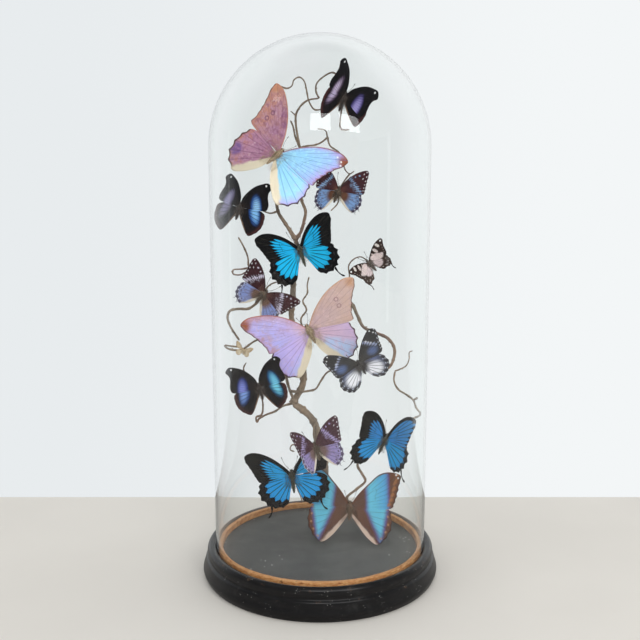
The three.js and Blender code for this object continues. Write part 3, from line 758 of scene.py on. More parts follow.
wingForms = {
    "pearly_morpho": {
        "fore": [(0.01, 0.05), (0.15, 0.27), (0.35, 0.48), (0.57, 0.61), (0.75, 0.66), (0.87, 0.62),
                 (0.86, 0.5), (0.79, 0.35), (0.72, 0.08), (0.71, -0.01), (0.05, 0)],
        "hind": [(0.06, -0.01), (0.48, 0.05), (0.63, 0), (0.7, -0.11), (0.73, -0.26), (0.7, -0.44),
                 (0.62, -0.55), (0.51, -0.62), (0.42, -0.63), (0.13, -0.37), (0.01, -0.12)],
        "rim": {"fore": (5, 9), "hind": (2, 8)}, "scallop": {"fore": 0.018, "hind": 0.032},
        "girth": 0.045, "abdomen": 0.24, "head": 0.11, "antenna": 0.2,
    },
    "leafwing": {
        "fore": [(0.01, 0.05), (0.08, 0.27), (0.23, 0.46), (0.42, 0.62), (0.6, 0.7), (0.81, 0.74),
                 (0.92, 0.6), (0.85, 0.5), (0.82, 0.38), (0.85, 0.1), (0.79, -0.03), (0.05, 0)],
        "hind": [(0.06, -0.01), (0.59, 0.05), (0.77, -0.03), (0.8, -0.18), (0.77, -0.4), (0.69, -0.55),
                 (0.57, -0.67), (0.44, -0.74), (0.36, -0.69), (0.13, -0.35), (0.01, -0.12)],
        "rim": {"fore": (6, 10), "hind": (2, 7)}, "scallop": {"fore": 0.008, "hind": 0.012},
        "girth": 0.075, "abdomen": 0.38, "head": 0.16, "antenna": 0.3,
    },
    "charaxes": {
        "fore": [(0.01, 0.05), (0.13, 0.22), (0.35, 0.42), (0.61, 0.56), (0.86, 0.6), (0.9, 0.51),
                 (0.86, 0.34), (0.78, 0), (0.74, -0.07), (0.05, 0)],
        "hind": [(0.06, -0.01), (0.57, -0.01), (0.69, -0.11), (0.72, -0.26), (0.7, -0.4), (0.6, -0.54),
                 (0.48, -0.62), (0.4, -0.63), (0.27, -0.54), (0.12, -0.35), (0.01, -0.12)],
        "rim": {"fore": (4, 8), "hind": (2, 7)}, "scallop": {"fore": 0.022, "hind": 0.028},
        "tails": [((0.6, -0.52), (0.64, -0.6), (0.022, 0.012, 0.008)),
                  ((0.5, -0.6), (0.52, -0.68), (0.024, 0.012, 0.008))],
        "girth": 0.08, "abdomen": 0.36, "head": 0.16, "antenna": 0.42,
    },
    "swallowtail": {
        "fore": [(0.01, 0.05), (0.14, 0.23), (0.32, 0.41), (0.55, 0.55), (0.72, 0.58), (0.86, 0.53),
                 (0.88, 0.42), (0.82, 0.26), (0.72, -0.03), (0.68, -0.08), (0.05, 0)],
        "hind": [(0.06, -0.01), (0.57, -0.04), (0.72, -0.14), (0.78, -0.28), (0.77, -0.44), (0.7, -0.55),
                 (0.62, -0.64), (0.5, -0.7), (0.38, -0.71), (0.23, -0.63), (0.12, -0.35), (0.01, -0.12)],
        "rim": {"fore": (5, 9), "hind": (2, 9)}, "scallop": {"fore": 0.014, "hind": 0.05},
        "tails": [((0.575, -0.655), (0.705, -0.875), (0.05, 0.022, 0.042))],
        "girth": 0.055, "abdomen": 0.4, "head": 0.13, "antenna": 0.36,
    },
    "graphium": {
        "fore": [(0.01, 0.05), (0.18, 0.21), (0.43, 0.4), (0.67, 0.5), (0.88, 0.51), (0.91, 0.43),
                 (0.82, 0.25), (0.69, -0.1), (0.05, 0)],
        "hind": [(0.06, -0.01), (0.52, -0.06), (0.64, -0.19), (0.67, -0.37), (0.63, -0.5), (0.55, -0.58),
                 (0.45, -0.6), (0.36, -0.57), (0.22, -0.54), (0.1, -0.32), (0.01, -0.12)],
        "rim": {"fore": (4, 7), "hind": (2, 8)}, "scallop": {"fore": 0.012, "hind": 0.025},
        "tails": [((0.545, -0.58), (0.545, -0.82), (0.05, 0.03, 0.04))],
        "girth": 0.075, "abdomen": 0.4, "head": 0.17, "antenna": 0.35,
    },
    "diadem": {
        "fore": [(0.01, 0.05), (0.13, 0.22), (0.32, 0.4), (0.55, 0.56), (0.76, 0.64), (0.89, 0.55),
                 (0.88, 0.4), (0.82, 0.25), (0.74, -0.02), (0.67, -0.08), (0.05, 0)],
        "hind": [(0.06, -0.01), (0.53, 0.02), (0.67, -0.07), (0.74, -0.22), (0.74, -0.38), (0.64, -0.52),
                 (0.5, -0.62), (0.33, -0.6), (0.2, -0.5), (0.1, -0.33), (0.01, -0.12)],
        "rim": {"fore": (5, 9), "hind": (2, 8)}, "scallop": {"fore": 0.022, "hind": 0.03},
        "girth": 0.06, "abdomen": 0.34, "head": 0.14, "antenna": 0.36,
    },
    "banded_morpho": {
        "fore": [(0.01, 0.05), (0.16, 0.23), (0.36, 0.41), (0.54, 0.55), (0.72, 0.58), (0.9, 0.51),
                 (0.88, 0.39), (0.76, 0.02), (0.7, -0.04), (0.05, 0)],
        "hind": [(0.06, -0.01), (0.52, 0.02), (0.67, -0.07), (0.71, -0.22), (0.69, -0.38), (0.62, -0.51),
                 (0.52, -0.62), (0.42, -0.65), (0.27, -0.53), (0.12, -0.31), (0.01, -0.12)],
        "rim": {"fore": (5, 8), "hind": (2, 7)}, "scallop": {"fore": 0.026, "hind": 0.022},
        "girth": 0.055, "abdomen": 0.22, "head": 0.12, "antenna": 0.22,
    },
    "pale_moth": {
        "fore": [(0.01, 0.05), (0.3, 0.3), (0.6, 0.5), (0.85, 0.52), (0.8, 0.3), (0.62, 0.05), (0.05, 0)],
        "hind": [(0.06, -0.01), (0.3, 0), (0.55, -0.08), (0.6, -0.3), (0.45, -0.5), (0.25, -0.5),
                 (0.08, -0.25)],
        "rim": {"fore": (3, 5), "hind": (2, 5)}, "scallop": {"fore": 0.01, "hind": 0.02}, "grid": (40, 10),
        "girth": 0.1, "abdomen": 0.42, "head": 0.18, "antenna": 0.4,
    },
}
wingBuild = {
    "grid": (84, 20),  # rays to the margin, and steps along each
    "curveSteps": 14,  # to a stretch of the outline
    "thickness": 0.5, "overlap": 0.42, "veins": {"fore": 8, "hind": 7},
    "spread": {"fore": (50, -3), "hind": (7, -76)},  # the veins fan between these angles, degrees
    "hinge": {"fore": (0.03, 0.03), "hind": (0.03, -0.02)},
}

# at: thorax. perch: where the pin meets the twig. size: forewing length. heading, lean: the head's turn to
# the right and tip to the front. lift: the wings' rise. fore, hind: how far each wing is drawn back. The left
# wing comes before the right.
insects = {
    "pearly_morpho_upper": dict(kind="pearly_morpho", at=(-45, -10, 476), perch=(-44, 5, 475), size=71,
                                heading=49, lean=-12, lift=(33, 9), fore=(4, -6), hind=(13, -11)),
    "pearly_morpho_middle": dict(kind="pearly_morpho", at=(-12, -23, 286), perch=(-11, -3, 280), size=71,
                                 heading=-25, lean=10, lift=(9, 1), fore=(3, 10), hind=(-1, 15)),
    "banded_morpho": dict(kind="banded_morpho", at=(34, -14, 79), perch=(33, -1, 79), size=67,
                          heading=2, lean=-6, lift=(-6, 7), fore=(-8, -6), hind=(-4, -6)),
    "swallowtail_upper": dict(kind="swallowtail", at=(-22, -15, 374), perch=(-24, 3, 370), size=51,
                              heading=-18, lean=5, lift=(18, 12), fore=(0, -3), hind=(-5, -4)),
    "swallowtail_left": dict(kind="swallowtail", at=(-31, -35, 125), perch=(-29, -17, 124), size=56,
                             heading=-6, lean=8, lift=(-8, -14), fore=(6, -6), hind=(7, 4)),
    "swallowtail_right": dict(kind="swallowtail", at=(73, -22, 163), perch=(76, -10, 163), size=52,
                              heading=21, lean=8, lift=(32, 58), fore=(-4, -23), hind=(-2, -31)),
    "leafwing_top": dict(kind="leafwing", at=(26, -1, 536), perch=(27, 8, 537), size=42,
                         heading=21, lean=12, lift=(55, 40), fore=(-18, 16), hind=(-14, -22)),
    "leafwing_left": dict(kind="leafwing", at=(-88, -7, 419), perch=(-89, 5, 419), size=38,
                          heading=16, lean=5, lift=(46, 6), fore=(-14, -12), hind=(-3, -2)),
    "leafwing_lower": dict(kind="leafwing", at=(-66, -34, 224), perch=(-70, -18, 220), size=37,
                           heading=-16, lean=4, lift=(10, 5), fore=(-10, -6), hind=(-3, 3)),
    "charaxes_right": dict(kind="charaxes", at=(20, 11, 436), perch=(21, 20, 436), size=38,
                           heading=20, lean=6, lift=(30, 8), fore=(0, -20), hind=(6, -22)),
    "charaxes_left": dict(kind="charaxes", at=(-61, -24, 326), perch=(-63, -8, 322), size=39,
                          heading=43, lean=8, lift=(5, 2), fore=(-1, 2), hind=(6, -5)),
    "charaxes_lower": dict(kind="charaxes", at=(-5, -50, 161), perch=(-6, -36, 161), size=41,
                           heading=-20, lean=-12, lift=(60, 14), fore=(-2, -3), hind=(-5, -2)),
    "graphium": dict(kind="graphium", at=(54, -7, 358), perch=(55, 5, 358), size=31,
                     heading=-44, lean=12, lift=(39, 12), fore=(3, 4), hind=(-10, -3)),
    "diadem": dict(kind="diadem", at=(43, -32, 250), perch=(42, -16, 246), size=41,
                   heading=-32, lean=10, lift=(16, -2), fore=(-10, -5), hind=(-7, 5)),
    "pale_moth": dict(kind="pale_moth", at=(-84, -24, 264), perch=(-84, -14, 264), size=13,
                      heading=3, lean=6, lift=(3, 22), fore=(-25, 15), hind=(-11, 10)),
}


class WingKit(Kit):  # a wing's material, with where a point is on the wing
    def __init__(self, name, wing):
        super().__init__(name)
        veins = wingBuild["veins"][wing]
        first, last = wingBuild["spread"][wing]
        self.plan = self.map("plan")
        self.x, self.y, _ = self.parts(self.plan)
        self.t, self.s, _ = self.parts(self.map("span"))
        self.fan, self.rim, _ = self.parts(self.map("rim"))
        self.lead, self.shift, _ = self.parts(self.map("lead"))
        self.off = self.maths("FRACT", self.fan * veins) - 0.5
        self.vein = abs(self.off) * 2
        self.across = self.off * self.s * (math.radians(first - last) / veins * 0.8)
        self.streak = self.noise(self.joined(self.fan * 70.0, self.s * 2.5, self.shift), 1.0, 3.0, 0.6)
        self.grain = self.noise(self.joined(self.x, self.y, self.shift), 90.0, 3.0, 0.6)
        self.cloud = self.noise(self.joined(self.x, self.y, self.shift), 7.0, 3.0, 0.55)


# Where a marking lies: each gives a function from the wing's kit to a mask.

def outer(start, soft=0.05, teeth=0.0, rough=0.08):
    return lambda k: k.smooth(k.s + k.vein * teeth + (k.streak - 0.5) * rough, start, start + soft)


def within(end, soft=0.1, rough=0.1):
    return lambda k: k.smooth(k.s + (k.streak - 0.5) * rough, end, end - soft)


def rim(width, soft=0.012, teeth=0.0, rough=0.03):
    return lambda k: k.smooth(k.rim - k.vein * teeth + (k.grain - 0.5) * rough, width, width - soft)


def lead(width, soft=0.015, rough=0.02):
    return lambda k: k.smooth(k.lead + (k.grain - 0.5) * rough, width, width - soft)


def fold(start, soft=0.05):  # the inner margin, from that far round the outline
    return lambda k: k.smooth(k.t + (k.cloud - 0.5) * 0.06, start, start + soft)


def slope(start, soft):  # the back part of the wing
    return lambda k: k.smooth(k.fan + (k.cloud - 0.5) * 0.12, start, start + soft)


def spot(centre, size, soft=0.3, rough=0.25, turn=0.0):
    def mask(k):
        offset = k.vector("SUBTRACT", k.plan, (*centre, 0))
        if turn:
            angle = math.radians(turn)
            offset = k.node("VectorRotate", {"rotation_type": "Z_AXIS"}, {"Vector": offset, "Angle": angle})
        away = k.measure("LENGTH", k.vector("DIVIDE", offset, (*size, 1)))
        return k.smooth(away + (k.grain - 0.5) * rough, 1, 1 - soft)
    return mask


def ring(centre, radius, width=0.012):
    def mask(k):
        away = k.measure("DISTANCE", k.plan, (*centre, 0))
        return k.smooth(abs(away - radius), width, width * 0.4)
    return mask


def stripe(start, end, width, soft=0.02, teeth=0.0, rough=0.04):
    along = Vector((end[0] - start[0], end[1] - start[1], 0))

    def mask(k):
        offset = k.vector("SUBTRACT", k.plan, (*start, 0))
        share = k.measure("DOT_PRODUCT", offset, tuple(along / along.length_squared))
        share = k.maths("MINIMUM", k.maths("MAXIMUM", share, 0), 1)
        away = k.measure("LENGTH", k.vector("SUBTRACT", offset, k.scaled(tuple(along), share)))
        return k.smooth(away + k.vein * teeth + (k.grain + k.cloud - 1) * rough, width, width - soft)
    return mask


def beyond(start, end, soft=0.03, rough=0.06):  # to the right of a line
    along = Vector((end[0] - start[0], end[1] - start[1], 0)).normalized()

    def mask(k):
        offset = k.vector("SUBTRACT", k.plan, (*start, 0))
        side = k.measure("DOT_PRODUCT", offset, (along.y, -along.x, 0))
        return k.smooth(side + (k.streak - 0.5) * rough, -soft, soft)
    return mask


def dots(away, radius, first=0.0, last=1.0, flat=1.0):  # one between each two veins
    def mask(k):
        distance = k.measure("LENGTH", k.joined(k.across / flat, k.rim - away))
        held = k.smooth(k.fan, first - 0.02, first + 0.02) * k.smooth(k.fan, last + 0.02, last - 0.02)
        return k.smooth(distance + (k.grain - 0.5) * 0.01, radius, radius * 0.6) * held
    return mask


def veins(width=0.006, start=0.25):
    def mask(k):
        toVein = (0.5 - abs(k.off)) * k.s * 0.11
        return k.smooth(toVein, width, width * 0.35) * k.smooth(k.s, start, start + 0.2)
    return mask


def cellEdge(width=0.005, at=0.46):  # the closed cell at the wing's middle
    def mask(k):
        off = abs(k.fan - 0.52)
        sides = k.smooth(abs(off - 0.2) * k.s, width * 1.4, width * 0.5) * k.smooth(k.s, at, at - 0.02)
        end = k.smooth(abs(k.s - at - off * 0.12), width * 1.6, width * 0.6)
        return k.maths("MAXIMUM", sides, end * k.smooth(off, 0.22, 0.19))
    return mask


def patches(low, high, scale=7.0):
    return lambda k: k.smooth(k.noise(k.joined(k.x, k.y, k.shift + 3.0), scale, 4.0, 0.6), low, high)


def both(*masks):
    def mask(k):
        product = masks[0](k)
        for other in masks[1:]:
            product = product * other(k)
        return product
    return mask


def lined(strength=1.0):  # olive streaks between the veins
    return lambda k: k.smooth(k.streak, 0.5, 0.72) * k.smooth(k.vein, 0.9, 0.3) * strength


ink = (13, 11, 12)
white = (238, 238, 240)
cream = (238, 224, 200)


def pearlyFore(stops, apex, margin, dark, rings, dabs=(), dotted=(), worn=0.6):
    return {"stops": stops, "layers": [
        *dabs,
        (patches(0.44, 0.6, 5.0), margin, 0.55 * worn),
        (patches(0.52, 0.62, 18.0), [min(255, c + 26) for c in stops[1][1]], 0.35),
        (patches(0.56, 0.66, 26.0), dark, 0.16),
        (both(outer(0.62, 0.3, 0, 0.4), patches(0.48, 0.58, 9.0)), margin, worn),
        (both(lined(), outer(0.3, 0.4)), dark, 0.22),
        (spot((0.84, 0.58), (0.17, 0.14), 0.75), apex, 0.95),
        (rim(0.06, 0.05, -0.03, 0.08), margin, 0.75),
        (lead(0.022), apex, 0.8),
        (veins(0.006, 0.3), dark, 0.5), (cellEdge(), dark, 0.4),
        (rim(0.016, 0.01), (95, 55, 35), 0.9),
        *[(ring(at, 0.03), dark, 0.75) for at in rings],
        *[(spot(at, (0.018, 0.018), 0.4), white, 0.9) for at in dotted],
    ], "shine": 0.15}


def pearlyHind(stops, margin, dark, dabs=(), folded=cream):
    return {"stops": stops, "layers": [
        *dabs,
        (patches(0.5, 0.62, 16.0), [min(255, c + 22) for c in stops[1][1]], 0.35),
        (patches(0.54, 0.64, 8.0), margin, 0.25),
        (rim(0.045, 0.03, -0.02), margin, 0.8),
        (veins(0.0055, 0.12), dark, 0.5),
        (rim(0.02, 0.01, 0.006), (70, 45, 40), 0.95),
        (spot((0.43, -0.61), (0.08, 0.05), 0.6), (176, 98, 46), 0.9),
        (fold(0.61, 0.035), folded, 1.0),
    ], "shine": 0.15}


def swallowtailFore(blue, deep, reach=0.66):
    return {"stops": [(0.0, deep), (0.16, blue), (0.6, blue)], "layers": [
        (outer(reach, 0.03, 0.16, 0.12), ink, 1.0),
        (both(outer(reach, 0.1), lined()), (84, 80, 66), 0.7),
        (lead(0.085, 0.02), ink, 1.0),
        (veins(0.01, 0.3), ink, 0.85), (cellEdge(0.006, 0.42), ink, 0.8),
        (both(fold(0.93, 0.04), outer(0.3, 0.2)), (60, 52, 44), 0.8),
    ], "shine": 0.3}


def swallowtailHind(blue, deep, reach=0.82):
    return {"stops": [(0.0, deep), (0.14, blue), (0.62, blue), (1.0, deep)], "layers": [
        (outer(reach, 0.02, 0.15, 0.08), ink, 1.0),
        (both(rim(0.1, 0.02), dots(0.075, 0.02, 0.1, 0.9, 2.2)), (60, 56, 60), 0.6),
        (veins(0.008, 0.15), ink, 0.85),
        (fold(0.8, 0.08), (70, 66, 48), 0.95),
    ], "shine": 0.3}


def leafFore(band, glow):
    return {"stops": [(0.0, (48, 38, 32)), (0.3, (22, 18, 20)), (1.0, (16, 13, 15))], "layers": [
        (spot((0.49, 0.04), (0.19, 0.42), 0.45, 0.5, -4), band, 1.0),
        (spot((0.5, 0.02), (0.15, 0.38), 0.75, 0.6, -4), glow, 1.0),
        (veins(0.009, 0.3), (12, 11, 14), 0.8),
        (spot((0.75, 0.665), (0.03, 0.036), 0.4), white, 0.95),
        (rim(0.02, 0.015), (56, 36, 34), 0.8),
        (lined(0.3), (46, 38, 36), 0.5),
    ], "shine": 0.1}


def leafHind(band, glow):
    return {"stops": [(0.0, (56, 44, 36)), (0.3, (22, 18, 20)), (1.0, (24, 16, 18))], "layers": [
        (spot((0.47, -0.06), (0.19, 0.42), 0.45, 0.5, -20), band, 1.0),
        (spot((0.48, -0.04), (0.15, 0.38), 0.75, 0.6, -20), glow, 1.0),
        (veins(0.009, 0.25), (22, 20, 24), 0.7),
        (rim(0.13, 0.1, 0, 0.1), (82, 44, 42), 0.7),
        (rim(0.015, 0.01), (40, 24, 24), 0.9),
        (fold(0.68, 0.06), (136, 110, 92), 0.85),
    ], "shine": 0.1}


def charaxesFore(ground, root, band):
    return {"stops": [(0.0, root), (0.3, ground), (1.0, ground)], "layers": [
        (patches(0.46, 0.64, 11.0), [min(255, c * 1.35) for c in ground], 0.4),
        (both(stripe((0.38, 0.36), (0.66, -0.08), 0.1, 0.06, 0.06, 0.12), patches(0.36, 0.5, 14.0)),
         band, 0.9),
        (both(stripe((0.36, 0.2), (0.6, -0.1), 0.1, 0.09, 0.04, 0.16), patches(0.44, 0.6, 12.0)), band, 0.5),
        (spot((0.62, 0.46), (0.035, 0.03), 0.4), band, 0.9),
        (spot((0.5, 0.42), (0.025, 0.03), 0.4), band, 0.85),
        (dots(0.045, 0.017, 0.1, 0.95), white, 0.95),
        (dots(0.13, 0.016, 0.15, 0.5), white, 0.8),
        (veins(0.006, 0.3), (34, 24, 26), 0.7),
        (rim(0.014, 0.008), (150, 140, 146), 0.5),
        (lead(0.02), (70, 48, 40), 0.8),
    ], "shine": 0.08}


def charaxesHind(root, band, edge):
    return {"stops": [(0.0, root), (0.34, root), (0.56, band), (0.78, band), (0.92, edge)], "layers": [
        (patches(0.5, 0.66, 10.0), root, 0.45),
        (veins(0.008, 0.35), (74, 62, 84), 0.6),
        (dots(0.13, 0.03, 0.0, 0.95, 1.3), (70, 52, 64), 0.7),
        (rim(0.085, 0.014), (58, 42, 56), 0.8),
        (dots(0.052, 0.02, 0.02, 0.95, 1.5), (214, 218, 232), 0.95),
        (rim(0.016, 0.008), (206, 208, 222), 0.85),
        (fold(0.66, 0.05), (226, 214, 196), 0.95),
    ], "shine": 0.08}


